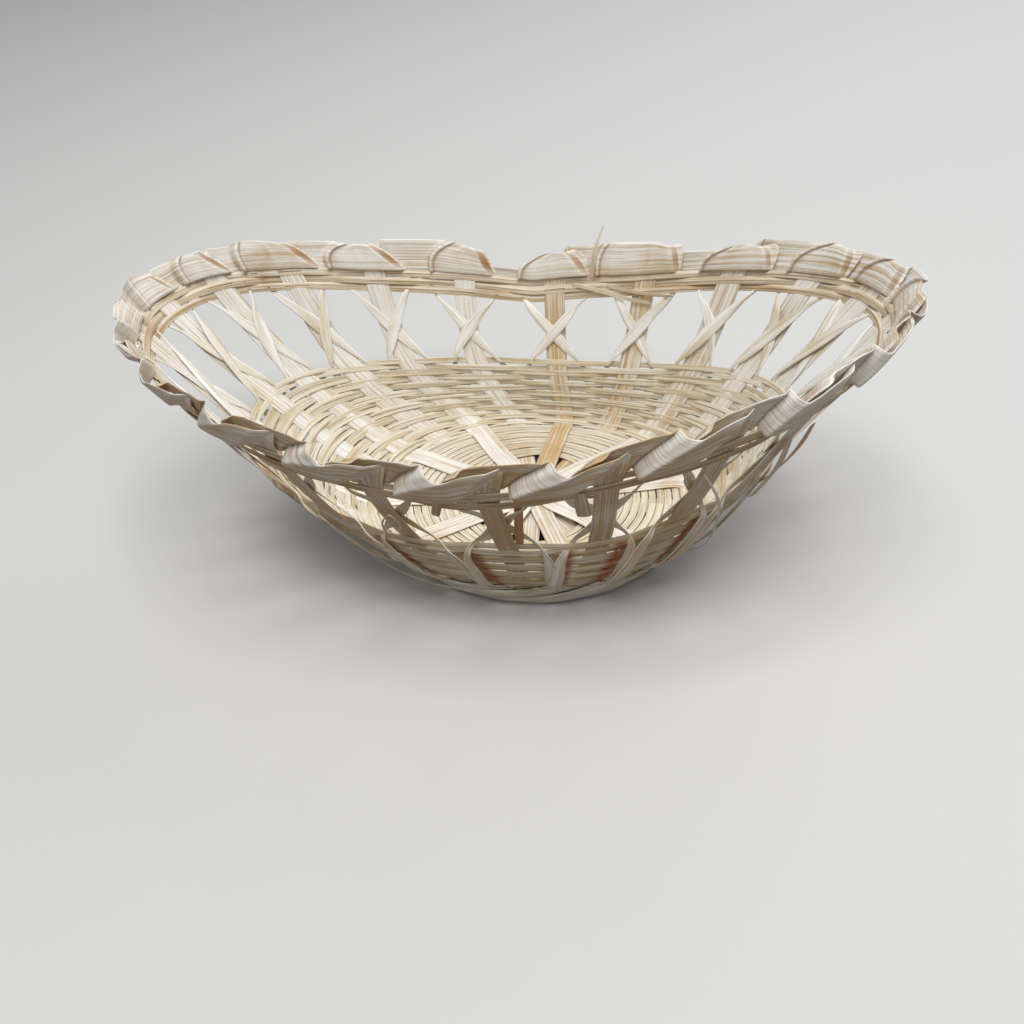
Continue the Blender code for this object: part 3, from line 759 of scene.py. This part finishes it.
def make_stake(index, finish):
    """One stake with its border ribbon. The near side's turned-up ribbon faces carry a painted
    highlight, and its outer face painted shade.
    """
    share = STAKE_WIDTH_shares[index]
    body = np.concatenate([stake_floor_rows(index, share), stake_wall_rows(index, share)])
    body = smooth_rows(body, steps=4)
    pitch = np.linalg.norm(wall(index * STAKE_STEP, 2.0) - wall((index - 1) * STAKE_STEP, 2.0))
    arch, brown, depth, lift, along, upturned = border_rows(index, pitch)
    fold = fold_rows(index, pitch, depth, lift)
    points = np.concatenate([body, fold, arch])
    stain_and_painted_light = np.concatenate([np.zeros(body.shape[:2]), np.full(fold.shape[:2], 0.1), brown])
    base = STAKE_TONE_shares[index]
    # The ribbon takes half the stake's own tone, plus painted shade that grows along the arch towards
    # its end
    tone_and_painted_light = np.concatenate([np.full(body.shape[:2], base), np.full(fold.shape[:2], base * 0.6),
                           min(base, 0.7) * 0.5 + 0.2 * along])
    risen = smooth_step((points[..., 2] - FLOOR_HEIGHT) / STAKE_SHADE_HEIGHT)
    # Painted shade: the near side's outer face is drawn browner from the floor upwards
    tone_and_painted_light = tone_and_painted_light + FRONT_PAINTED_SHADE * shade_share(index * STAKE_STEP) * risen
    # Painted highlight: the near side's ribbon faces that turn up to the light are drawn paler
    painted_highlight_factor = 1.0 - 0.9 * np.clip(upturned, 0.0, 1.0)
    tone_and_painted_light[-len(arch):] = tone_and_painted_light[-len(arch):] * painted_highlight_factor - 0.4 * upturned
    number = f"{index + 1:02d}"
    strip = lay_strip(f"folded_stake_{number}", points, STAKE_THICKNESS, finish, tone_and_painted_light, stain_and_painted_light)
    join_piece(f"folded_stake_{number}", [strip], f"stake_{number}")


# Thin strands round the ring


def ring_strand(name, level, width, side, finish, slant=0.0, stain_and_painted_light=0.0):
    """One strand that goes in and out of the stakes once round, and laps on the seam stake.

    Its level and width are given at each of the ring's angles.
    """
    swing = np.cos(math.pi * RING_TURNS)
    swing = swing * np.sqrt((1.0 + STRAND_SWING_ROUNDNESS) / (swing * swing + STRAND_SWING_ROUNDNESS))
    point, _, up, out = frames(RING_ANGLES, level)
    centre = point + out * (side * STRAND_SWING * swing)[:, None]
    lean = (slant + STRAND_FRONT_LEAN * np.clip(-np.sin(RING_ANGLES), 0.0, 1.0))[:, None]
    across = up * np.cos(lean) + out * np.sin(lean)
    facing = out * np.cos(lean) - up * np.sin(lean)
    rows = across_rows(centre, across, facing, width, STRAND_CUP, 4)
    # Each strand's own random tone, plus painted shade on the near side
    tone_and_painted_light = dice.random() + STRAND_FRONT_PAINTED_SHADE * shade_share(RING_ANGLES)[:, None]
    return lay_strip(name, rows, STRAND_THICKNESS, finish, tone_and_painted_light, stain_and_painted_light)


def brown_patches(angle):
    """Orange-brown stretches at a few places round the outside of the wall."""
    brown = np.zeros_like(angle)
    for gaps, reach in BROWN_PATCHES:
        turn = (angle / STAKE_STEP - gaps + STAKE_COUNT / 2) % STAKE_COUNT - STAKE_COUNT / 2
        brown = brown + np.exp(-(turn / reach) ** 2)
    return brown * BROWN_DEPTH


def make_wall_rows(finish):
    """Two strands to each row of the wall, and five to the lowest, which closes the turn up.

    Their offsets are counted in rows.
    """
    angle = RING_ANGLES
    spacing = (WALL_LAST_ROW_share - WALL_FIRST_ROW_share) / (WALL_ROW_COUNT - 1)
    height = np.linalg.norm(BOWL.points(angle) - FLOOR.points(angle), axis=-1)
    near = np.clip(-np.sin(angle), 0.0, 1.0) ** 2
    wide = height * spacing / 2 * (STRAND_WIDTH_share + STRAND_FRONT_WIDTH_share * near)
    wide = np.clip(wide, STRAND_LEAST_WIDTH, STRAND_MOST_WIDTH)
    brown = brown_patches(angle)[:, None]
    for row in range(WALL_ROW_COUNT):
        strands = []
        for order, offset in enumerate(LOWEST_ROW_OFFSETS if row == 0 else ROW_OFFSETS):
            seed = row * 3 + order
            side = 1 if row % 2 == 0 else -1
            if -1.5 < offset < -0.5:
                side = -side
            drift = ROW_DRIFT_share * wander(seed, 2, angle) * np.cos(angle) ** 2
            level = WALL_FIRST_ROW_share + spacing * (row + offset + drift)
            width = wide * (1.0 + STRAND_DRIFT_share * wander(seed, 5, angle))
            slant = dice.uniform(-STRAND_LEAN, STRAND_LEAN)
            strands.append(ring_strand(f"wall_strand_{seed}", level, width, side, finish, slant, brown))
        join_piece(f"wall_row_{row + 1:02d}", strands, f"wall_weaver_{row + 1:02d}")


def make_edge_rows(finish):
    """The pair of wider strands that end the close weave."""
    angle = RING_ANGLES
    height = np.linalg.norm(BOWL.points(angle) - FLOOR.points(angle), axis=-1)
    strands = []
    for order, side in ((0, 1), (1, -1)):
        lift = (order - 0.5) * EDGE_STRAND_SPACING + EDGE_DRIFT * wander(order, 3, angle)
        width = EDGE_STRAND_WIDTH * (1.0 + 0.8 * STRAND_DRIFT_share * wander(order + 4, 6, angle))
        strands.append(ring_strand(f"edge_strand_{order}", 1.0 + lift / height, width, side, finish))
    join_piece("bowl_edge_pair", strands, "bowl_edge_weaver")


def make_band_rows(finish):
    """Three pairs of strands under the border, with the frayed ends that hang from them."""
    angle = RING_ANGLES
    for row in range(BAND_ROW_COUNT):
        strands = []
        for order in (0, 1):
            seed = 40 + row * 2 + order
            depth = BAND_FIRST_DEPTH + row * BAND_ROW_SPACING + (order - 0.5) * BAND_STRAND_SPACING
            level = level_below_rim(angle, depth + BAND_DRIFT * wander(seed, 3, angle))
            width = BAND_STRAND_WIDTH * (1.0 + 1.5 * STRAND_DRIFT_share * wander(seed, 4, angle))
            strands.append(ring_strand(f"band_strand_{seed}", level, width, 1 - 2 * (row % 2), finish,
                                       BAND_LEANS[order]))
        strands.extend(loose_strips(f"band_pair_{row + 1}", finish))
        join_piece(f"band_pair_{row + 1}", strands, f"band_weaver_{row + 1}")


def make_fill_rows(finish):
    """Flat strands that fill the floor's edge, over every second stake."""
    angle = np.linspace(0.0, math.tau, FILL_STATION_COUNT + 1)
    reach = FLOOR.points(angle) - FLOOR_CENTRE
    radius = np.linalg.norm(reach, axis=-1)
    spacing = (FILL_OUTER_share - FILL_INNER_RADIUS / radius) / (FILL_ROW_COUNT - 1)
    for row in range(FILL_ROW_COUNT):
        strands = []
        for order in range(FILL_STRANDS_PER_ROW):
            seed = 60 + row * FILL_STRANDS_PER_ROW + order
            offset = (order - (FILL_STRANDS_PER_ROW - 1) / 2) / FILL_STRANDS_PER_ROW
            share = (FILL_OUTER_share - (row + offset) * spacing
                     + FILL_DRIFT_share * wander(seed, 4, angle))
            height = FILL_WEAVE * np.cos(angle * STAKE_COUNT + row) + FILL_DRIFT * wander(seed, 3, angle)
            centre = FLOOR_CENTRE + reach * share[:, None] + UP * height[:, None]
            centre[-1] = centre[0]
            width = radius * spacing / FILL_STRANDS_PER_ROW * FILL_WIDTH_share
            rows = across_rows(centre, unit(reach), UP[None], width, FILL_CUP, 4)
            rows[-1] = rows[0]
            strands.append(lay_strip(f"fill_strand_{seed}", rows, FILL_THICKNESS, finish,
                                     dice.random() * FILL_MOST_TONE, closed=True))
        join_piece(f"floor_row_{row + 1}", strands, f"floor_weaver_{row + 1}")


# Lacing


def strip_rows(spots, cup, count):
    """Rows across a free strip, from spots of angle, level, distance outwards, width and twist."""
    table = np.array(spots)
    point, _, _, out = frames(table[:, 0], table[:, 1])
    point = point + out * table[:, 2:3]
    rows = smooth_rows(np.concatenate([point, out, table[:, 3:5]], axis=1), steps=5)
    centre, out, width, twist = rows[:, :3], unit(rows[:, 3:6]), rows[:, 6], rows[:, 7]
    course = unit(np.gradient(centre, axis=0))
    side = unit(np.cross(out, course))
    normal = np.cross(course, side)
    turned = side * np.cos(twist)[:, None] + normal * np.sin(twist)[:, None]
    facing = normal * np.cos(twist)[:, None] - side * np.sin(twist)[:, None]
    return across_rows(centre, turned, facing, width, cup, count)


def loose_strips(piece, finish):
    """The frayed ends, fibres and loops that belong to a piece."""
    strips = []
    for number, (owner, tone_and_painted_light, stain_and_painted_light, spots) in enumerate(LOOSE_STRIPS):
        if owner == piece:
            table = [(gaps * STAKE_STEP, level, outwards * MM, width * MM, twist)
                     for gaps, level, outwards, width, twist in spots]
            strips.append(lay_strip(f"loose_strip_{number}", strip_rows(table, LOOSE_CUP, 3),
                                    LOOSE_THICKNESS, finish, tone_and_painted_light, stain_and_painted_light))
    return strips


def lace_leg(index, direction):
    """Half a lacing turn over one stake, from the foot up.

    Each spot is the turn from the stake in half gaps, the level, the distance outwards, the
    width and the twist. Direction 1 leans towards growing angles as it rises.
    """
    inside = -LACE_NEAR if direction > 0 else -LACE_FAR
    lap = LACE_LAP if direction > 0 else 0.0
    angle = index * STAKE_STEP
    front = max(-math.sin(angle), 0.0)
    top_side = lace_top_side(angle)
    vary = math.sin(2.4 * index + direction)
    middle = 0.51 + 0.03 * math.sin(1.9 * index)
    blunt = LACE_BLUNT * max(math.sin(1.3 * index - direction), 0.0)
    shape = ((-1.0, 0.10, LACE_FOOT_OUT + lap * 0.5, LACE_FOOT_WIDTH, 0.1),
             (-0.98, 0.32, LACE_LOW_OUT + lap, LACE_LOW_WIDTH, 0.05),
             (-0.90, 0.60, LACE_BULGE_OUT + lap, LACE_LOW_WIDTH, 0.05),
             (-0.74 - 0.12 * front, 0.86, LACE_EDGE_OUT, LACE_SIDE_WIDTH, 0.2),
             (-0.66 - 0.12 * front, 1.0, LACE_TURN_OUT, LACE_EDGE_WIDTH, 0.4),
             (-0.60 - 0.08 * front, open_level(angle, 0.07), LACE_SLIP_OUT, LACE_SLIP_WIDTH, 0.4),
             (-0.32, open_level(angle, middle - 0.23), inside * 0.8, LACE_SIDE_WIDTH,
              0.1 + 0.25 * vary),
             (0.0, open_level(angle, middle), inside, LACE_WIDTH * (1.0 + 0.1 * vary), 0.15 * vary),
             (0.32, open_level(angle, middle + 0.23), inside * 0.8, LACE_SIDE_WIDTH + blunt / 3,
              -0.1 - 0.2 * vary),
             (0.58 + 0.04 * vary, open_level(angle, 0.93), LACE_HIGH_OUT, LACE_HIGH_WIDTH + blunt,
              -0.4),
             (0.74, open_level(angle, 1.05), LACE_TOP_OUT * top_side, LACE_TOP_WIDTH, -0.2))
    return [(angle + direction * turn * STAKE_STEP / 2, level, outwards, width, direction * twist)
            for turn, level, outwards, width, twist in shape]


def lace_top_side(angle):
    """The lacing turns outside the band at the back and inside it at the front."""
    return min(max(3.0 * (math.sin(angle) + 0.3), -1.0), 1.0)


def lace_top_turn(gap):
    """The turn behind the band, halfway between two stakes."""
    angle = gap * STAKE_STEP
    depth = LACE_TURN_OUT * lace_top_side(angle)
    return [(angle + share * STAKE_STEP, open_level(angle, rise), depth, LACE_TURN_WIDTH, 0.0)
            for share, rise in ((0.1, 1.16), (0.0, 1.2), (-0.1, 1.16))]


def lace_foot_turn(gap):
    """The turn above the foot, where the V of two legs closes."""
    angle = gap * STAKE_STEP
    return [(angle + share * STAKE_STEP, level, LACE_TURN_OUT, LACE_TURN_WIDTH, 0.0)
            for share, level in ((0.02, 0.05), (0.0, 0.02), (-0.02, 0.05))]


def make_laces(finish):
    """Lacing strips: up over one stake, behind the band, down over the next, round the foot."""
    legs = 2 * STAKE_COUNT // LACE_STRIP_COUNT
    for number in range(LACE_STRIP_COUNT):
        spots = []
        for leg in range(legs):
            index = -number * legs - leg
            falling = leg % 2 == 1
            stations = lace_leg(index, 1 if falling else -1)
            spots.extend(reversed(stations) if falling else stations)
            if leg < legs - 1:
                spots.extend(lace_foot_turn(index - 0.5) if falling else lace_top_turn(index - 0.5))
        points = strip_rows(spots, LACE_CUP, 5)
        # Painted shade on the legs of the near side, over each strip's own random tone
        near = smooth_step((-points[..., 1] - LACE_SHADE_START) / LACE_SHADE_LENGTH)
        tone_and_painted_light = dice.random() + LACE_FRONT_PAINTED_SHADE * near
        strips = [lay_strip(f"laced_strip_{number + 1}", points, LACE_THICKNESS, finish, tone_and_painted_light)]
        strips.extend(loose_strips(f"laced_strip_{number + 1}", finish))
        join_piece(f"laced_strip_{number + 1}", strips, f"lacing_strip_{number + 1}")


# Foot


def foot_strand(name, phase_share, width, depth, finish):
    """One flat strip that runs round the foot in long slow waves, from its bottom to its top."""
    angle = np.linspace(0.0, math.tau, FOOT_STATION_COUNT + 1)
    phase = FOOT_WAVE_COUNT * angle + math.tau * phase_share
    inout = depth * np.cos(phase) + FOOT_DRIFT * np.sin(5 * angle + 9 * phase_share)
    swing = (FOOT_TOP - width) / 2
    wave = np.sin(phase) * (1.0 + FOOT_DRIFT_share * np.sin(3 * angle + 7 * phase_share))
    middle = FOOT_TOP / 2 + swing * np.clip(wave, -1.0, 1.0)
    centre = np.stack([FLOOR_SHIFT + (FOOT_HALF_LENGTH + inout) * np.cos(angle),
                       (FOOT_HALF_WIDTH + inout) * np.sin(angle), middle], axis=-1)
    centre[-1] = centre[0]
    outward = unit(np.stack([np.cos(angle), np.sin(angle), np.zeros_like(angle)], axis=-1))
    course = unit(np.gradient(centre, axis=0))
    course[0] = course[-1] = unit(centre[1] - centre[-2])
    side = unit(np.cross(outward, course))
    wide = width * (1.0 + FOOT_DRIFT_share * np.sin(4 * angle + 11 * phase_share))
    rows = across_rows(centre, side, outward, wide, FOOT_CUP, 5)
    rows[..., 2] = np.clip(rows[..., 2], FOOT_STRIP_THICKNESS / 2 + FOOT_CLEARANCE, None)
    rows[-1] = rows[0]
    return lay_strip(name, rows, FOOT_STRIP_THICKNESS, finish, dice.random(), closed=True)


def twine_strand(name, phase, finish):
    """One of the two thin strands twisted together above the foot."""
    angle = np.linspace(0.0, math.tau, 6 * TWINE_TURN_COUNT + 1)
    turn = TWINE_TURN_COUNT / 2 * angle + phase
    point, _, up, out = frames(angle, np.full_like(angle, TWINE_LEVEL))
    centre = point + out * (TWINE_OUT + TWINE_SWING * np.cos(turn))[:, None]
    centre = centre + up * (TWINE_RISE * np.sin(turn))[:, None]
    centre[-1] = centre[0]
    rows = across_rows(centre, up, out, TWINE_WIDTH, TWINE_CUP, 3)
    rows[-1] = rows[0]
    return lay_strip(name, rows, STRAND_THICKNESS, finish, TWINE_TONE, TWINE_STAIN, closed=True)


def make_foot(finish, twine):
    """Each node of the foot is three strips side by side, and two of them carry the twine."""
    for number in range(FOOT_STRAND_COUNT):
        strands = []
        for order, width in enumerate(FOOT_STRIP_WIDTHS):
            share = number / FOOT_STRAND_COUNT + order * FOOT_STRIP_SPREAD_share
            depth = FOOT_WAVE_DEPTH - order * FOOT_WAVE_STEP
            strands.append(foot_strand(f"foot_strip_{number}_{order}", share, width, depth, finish))
        if number < 2:
            strands.append(twine_strand(f"foot_twine_{number}", math.pi * number, twine))
        join_piece(f"foot_twist_{number + 1}", strands, f"foot_strand_{number + 1}")


# Finishes


def linear(colour):
    """An sRGB hex colour as linear red, green and blue, with full alpha."""
    values = [int(colour[start:start + 2], 16) / 255 for start in (1, 3, 5)]
    return tuple(v / 12.92 if v <= 0.04045 else ((v + 0.055) / 1.055) ** 2.4 for v in values) + (1.0,)


def add(tree, kind, inputs=None, **settings):
    """Adds a node. An input that is a socket is linked, and any other is set."""
    node = tree.nodes.new(kind)
    for key, value in settings.items():
        setattr(node, key, value)
    for key, value in (inputs or {}).items():
        if isinstance(value, bpy.types.NodeSocket):
            tree.links.new(value, node.inputs[key])
        else:
            node.inputs[key].default_value = value
    return node


def mapped(tree, value, low, high, start, stop):
    """Value between low and high, spread from start to stop."""
    return add(tree, "ShaderNodeMapRange", {
        "Value": value, "From Min": low, "From Max": high, "To Min": start, "To Max": stop}).outputs[0]


def worked_out(tree, operation, *values, use_clamp=False):
    return add(tree, "ShaderNodeMath", dict(enumerate(values)), operation=operation,
               use_clamp=use_clamp).outputs[0]


def mixed(tree, share, first, second):
    """Colour between two others, which are inputs 6 and 7 of the node."""
    return add(tree, "ShaderNodeMix", {0: share, 6: first, 7: second}, data_type="RGBA").outputs[2]


def split_fibre_finish(name, pale, straw, line, brown, fibre, roughness):
    """Dry split bamboo: satin, with fine fibres along each strip and uneven straw tones.

    One attribute leads from the pale colour to the straw one: it holds each strip's tone, and also
    painted shade on the near side and a painted highlight on turned-up ribbon faces. The other leads
    to the brown of the skin, and on the border ribbons it also holds painted shade and, below zero,
    where it clears the brown, a painted highlight. The fibre width is drawn two to three times
    coarser than the real one, so that it shows.
    """
    material = bpy.data.materials.new(name)
    material.use_nodes = True
    tree = material.node_tree
    tree.nodes.clear()
    chart = add(tree, "ShaderNodeUVMap", uv_map="UVMap").outputs[0]
    fine = add(tree, "ShaderNodeMapping", {"Vector": chart, "Scale": (1 / GRAIN_LENGTH, 1 / fibre, 1)})
    fibres = add(tree, "ShaderNodeTexNoise", {
        "Vector": fine.outputs[0], "Scale": 1.0, "Detail": 3.0, "Roughness": 0.6},
        noise_dimensions="2D").outputs[0]
    broad = add(tree, "ShaderNodeMapping", {
        "Vector": chart, "Scale": (1 / STREAK_LENGTH, 1 / STREAK_WIDTH, 1)})
    streaks = add(tree, "ShaderNodeTexNoise", {
        "Vector": broad.outputs[0], "Scale": 1.0, "Detail": 2.0}, noise_dimensions="2D").outputs[0]
    room = add(tree, "ShaderNodeTexCoord").outputs["Object"]
    blotches = add(tree, "ShaderNodeTexNoise", {
        "Vector": room, "Scale": 1 / BLOTCH_SIZE, "Detail": 3.0, "Roughness": 0.55}).outputs[0]
    # The first attribute holds tone with painted shade and highlight, the second stain with painted
    # shade and highlight
    tone_and_painted_light = add(tree, "ShaderNodeAttribute", attribute_name="tone_and_painted_light").outputs["Fac"]
    stain_and_painted_light = add(tree, "ShaderNodeAttribute", attribute_name="stain_and_painted_light").outputs["Fac"]
    streaky = mapped(tree, streaks, 0.38, 0.64, -0.3, 0.44)
    toned = worked_out(tree, "MULTIPLY_ADD", tone_and_painted_light, 0.42, streaky)
    mottled = mapped(tree, blotches, 0.35, 0.7, -0.28, 0.33)
    depth = worked_out(tree, "ADD", toned, mottled, use_clamp=True)
    ground = mixed(tree, depth, linear(pale), linear(straw))
    lines = mapped(tree, fibres, 0.33, 0.48, 0.5, 0.0)
    lined = mixed(tree, lines, ground, linear(line))
    patches = mapped(tree, blotches, 0.64, 0.8, 0.0, 0.3)
    browned = worked_out(tree, "ADD", stain_and_painted_light, patches, use_clamp=True)
    colour = mixed(tree, browned, lined, linear(brown))
    gloss = mapped(tree, fibres, 0.3, 0.7, roughness + 0.1, roughness - 0.06)
    ridges = worked_out(tree, "MULTIPLY_ADD", streaks, 0.8, fibres)
    bump = add(tree, "ShaderNodeBump", {"Strength": 0.7, "Distance": BUMP_DEPTH, "Height": ridges})
    shader = add(tree, "ShaderNodeBsdfPrincipled", {
        "Base Color": colour, "Roughness": gloss, "Normal": bump.outputs[0], "Metallic": 0.0,
        "IOR": 1.5})
    add(tree, "ShaderNodeOutputMaterial", {"Surface": shader.outputs[0]})
    return material


# Room, lights and camera


def make_room():
    """A plain pale floor under a soft white sky. What it reflects onto the basket is warmer."""
    bpy.ops.object.select_all(action="DESELECT")
    bpy.ops.mesh.primitive_plane_add(size=FLOOR_SIZE)
    floor = bpy.context.active_object
    floor.name = "studio_floor"
    paper = bpy.data.materials.new("matt_paper_floor")
    paper.use_nodes = True
    shader = paper.node_tree.nodes["Principled BSDF"]
    tree = paper.node_tree
    rays = add(tree, "ShaderNodeLightPath").outputs
    mirrored = worked_out(tree, "MAXIMUM", rays["Is Glossy Ray"], rays["Is Transmission Ray"])
    seen = worked_out(tree, "MAXIMUM", rays["Is Camera Ray"], mirrored)
    tint = mixed(tree, seen, linear("#6E5E4D"), linear("#D6D3CE"))
    tree.links.new(tint, shader.inputs["Base Color"])
    shader.inputs["Roughness"].default_value = 0.9
    floor.data.materials.append(paper)
    world = bpy.context.scene.world or bpy.data.worlds.new("studio")
    bpy.context.scene.world = world
    world.use_nodes = True
    sky = world.node_tree.nodes["Background"]
    sky.inputs["Color"].default_value = linear("#EEF2F8")
    sky.inputs["Strength"].default_value = SKY_STRENGTH


def add_lamp(name, place_at, watts, colour):
    """Square soft lamp aimed at the basket."""
    data = bpy.data.lights.new(name, "AREA")
    data.size = LAMP_SIZE
    data.energy = watts
    data.color = linear(colour)[:3]
    lamp = bpy.data.objects.new(name, data)
    bpy.context.scene.collection.objects.link(lamp)
    lamp.location = place_at
    aim = Vector(LAMP_AIM) - Vector(place_at)
    lamp.rotation_euler = aim.to_track_quat("-Z", "Y").to_euler()


def make_camera():
    """The camera stands where it stood for the picture, held a little askew."""
    yaw, pitch, roll = CAMERA_YAW, CAMERA_PITCH, CAMERA_ROLL
    ahead = Vector((math.sin(yaw) * math.cos(pitch), math.cos(yaw) * math.cos(pitch), -math.sin(pitch)))
    right = Vector((math.cos(yaw), -math.sin(yaw), 0.0))
    above = right.cross(ahead)
    across = right * math.cos(roll) + above * math.sin(roll)
    upright = above * math.cos(roll) - right * math.sin(roll)
    data = bpy.data.cameras.new("camera")
    data.lens = CAMERA_LENS_MM
    data.sensor_width = CAMERA_SENSOR_MM
    data.clip_start = CAMERA_NEAREST
    camera = bpy.data.objects.new("camera", data)
    bpy.context.scene.collection.objects.link(camera)
    turn = Matrix((across, upright, -ahead)).transposed().to_4x4()
    camera.matrix_world = Matrix.Translation(CAMERA_PLACE) @ turn
    bpy.context.scene.camera = camera


# The stake finish's brown is the skin's own colour and also the painted shade of the ribbons' grooves,
# turns and crescents
skin = split_fibre_finish("split_bamboo_stake", "#F6F2E8", "#CBAA78", "#9E8A68", "#966420",
                          0.36 * MM, 0.5)
thin = split_fibre_finish("split_bamboo_weaver", "#E9E0CA", "#CDB589", "#8C6E46", "#A2561E",
                          0.4 * MM, 0.52)
tan = split_fibre_finish("split_bamboo_band", "#EADCC2", "#BC9A6C", "#80603E", "#8E5E30",
                         0.4 * MM, 0.52)
# The lacing's brown is kept bright: on the orange loose strips it is partly painted light shining
# through them
lace = split_fibre_finish("split_bamboo_lacing", "#FBF9F2", "#DECCA8", "#B8A684", "#B87A30",
                          0.36 * MM, 0.48)
core = split_fibre_finish("split_bamboo_foot", "#FCF9EC", "#F2E9CC", "#C0B694", "#A07440",
                          0.5 * MM, 0.52)

for stake in range(STAKE_COUNT):
    make_stake(stake, skin)
make_fill_rows(thin)
make_wall_rows(thin)
make_edge_rows(thin)
make_band_rows(tan)
make_laces(lace)
make_foot(core, tan)

make_room()
add_lamp("window_light", WINDOW_PLACE, WINDOW_WATTS, "#FAFCFF")
add_lamp("back_light", BACK_LIGHT_PLACE, BACK_LIGHT_WATTS, "#F3F7FF")
make_camera()
bpy.context.scene.view_settings.view_transform = "Standard"
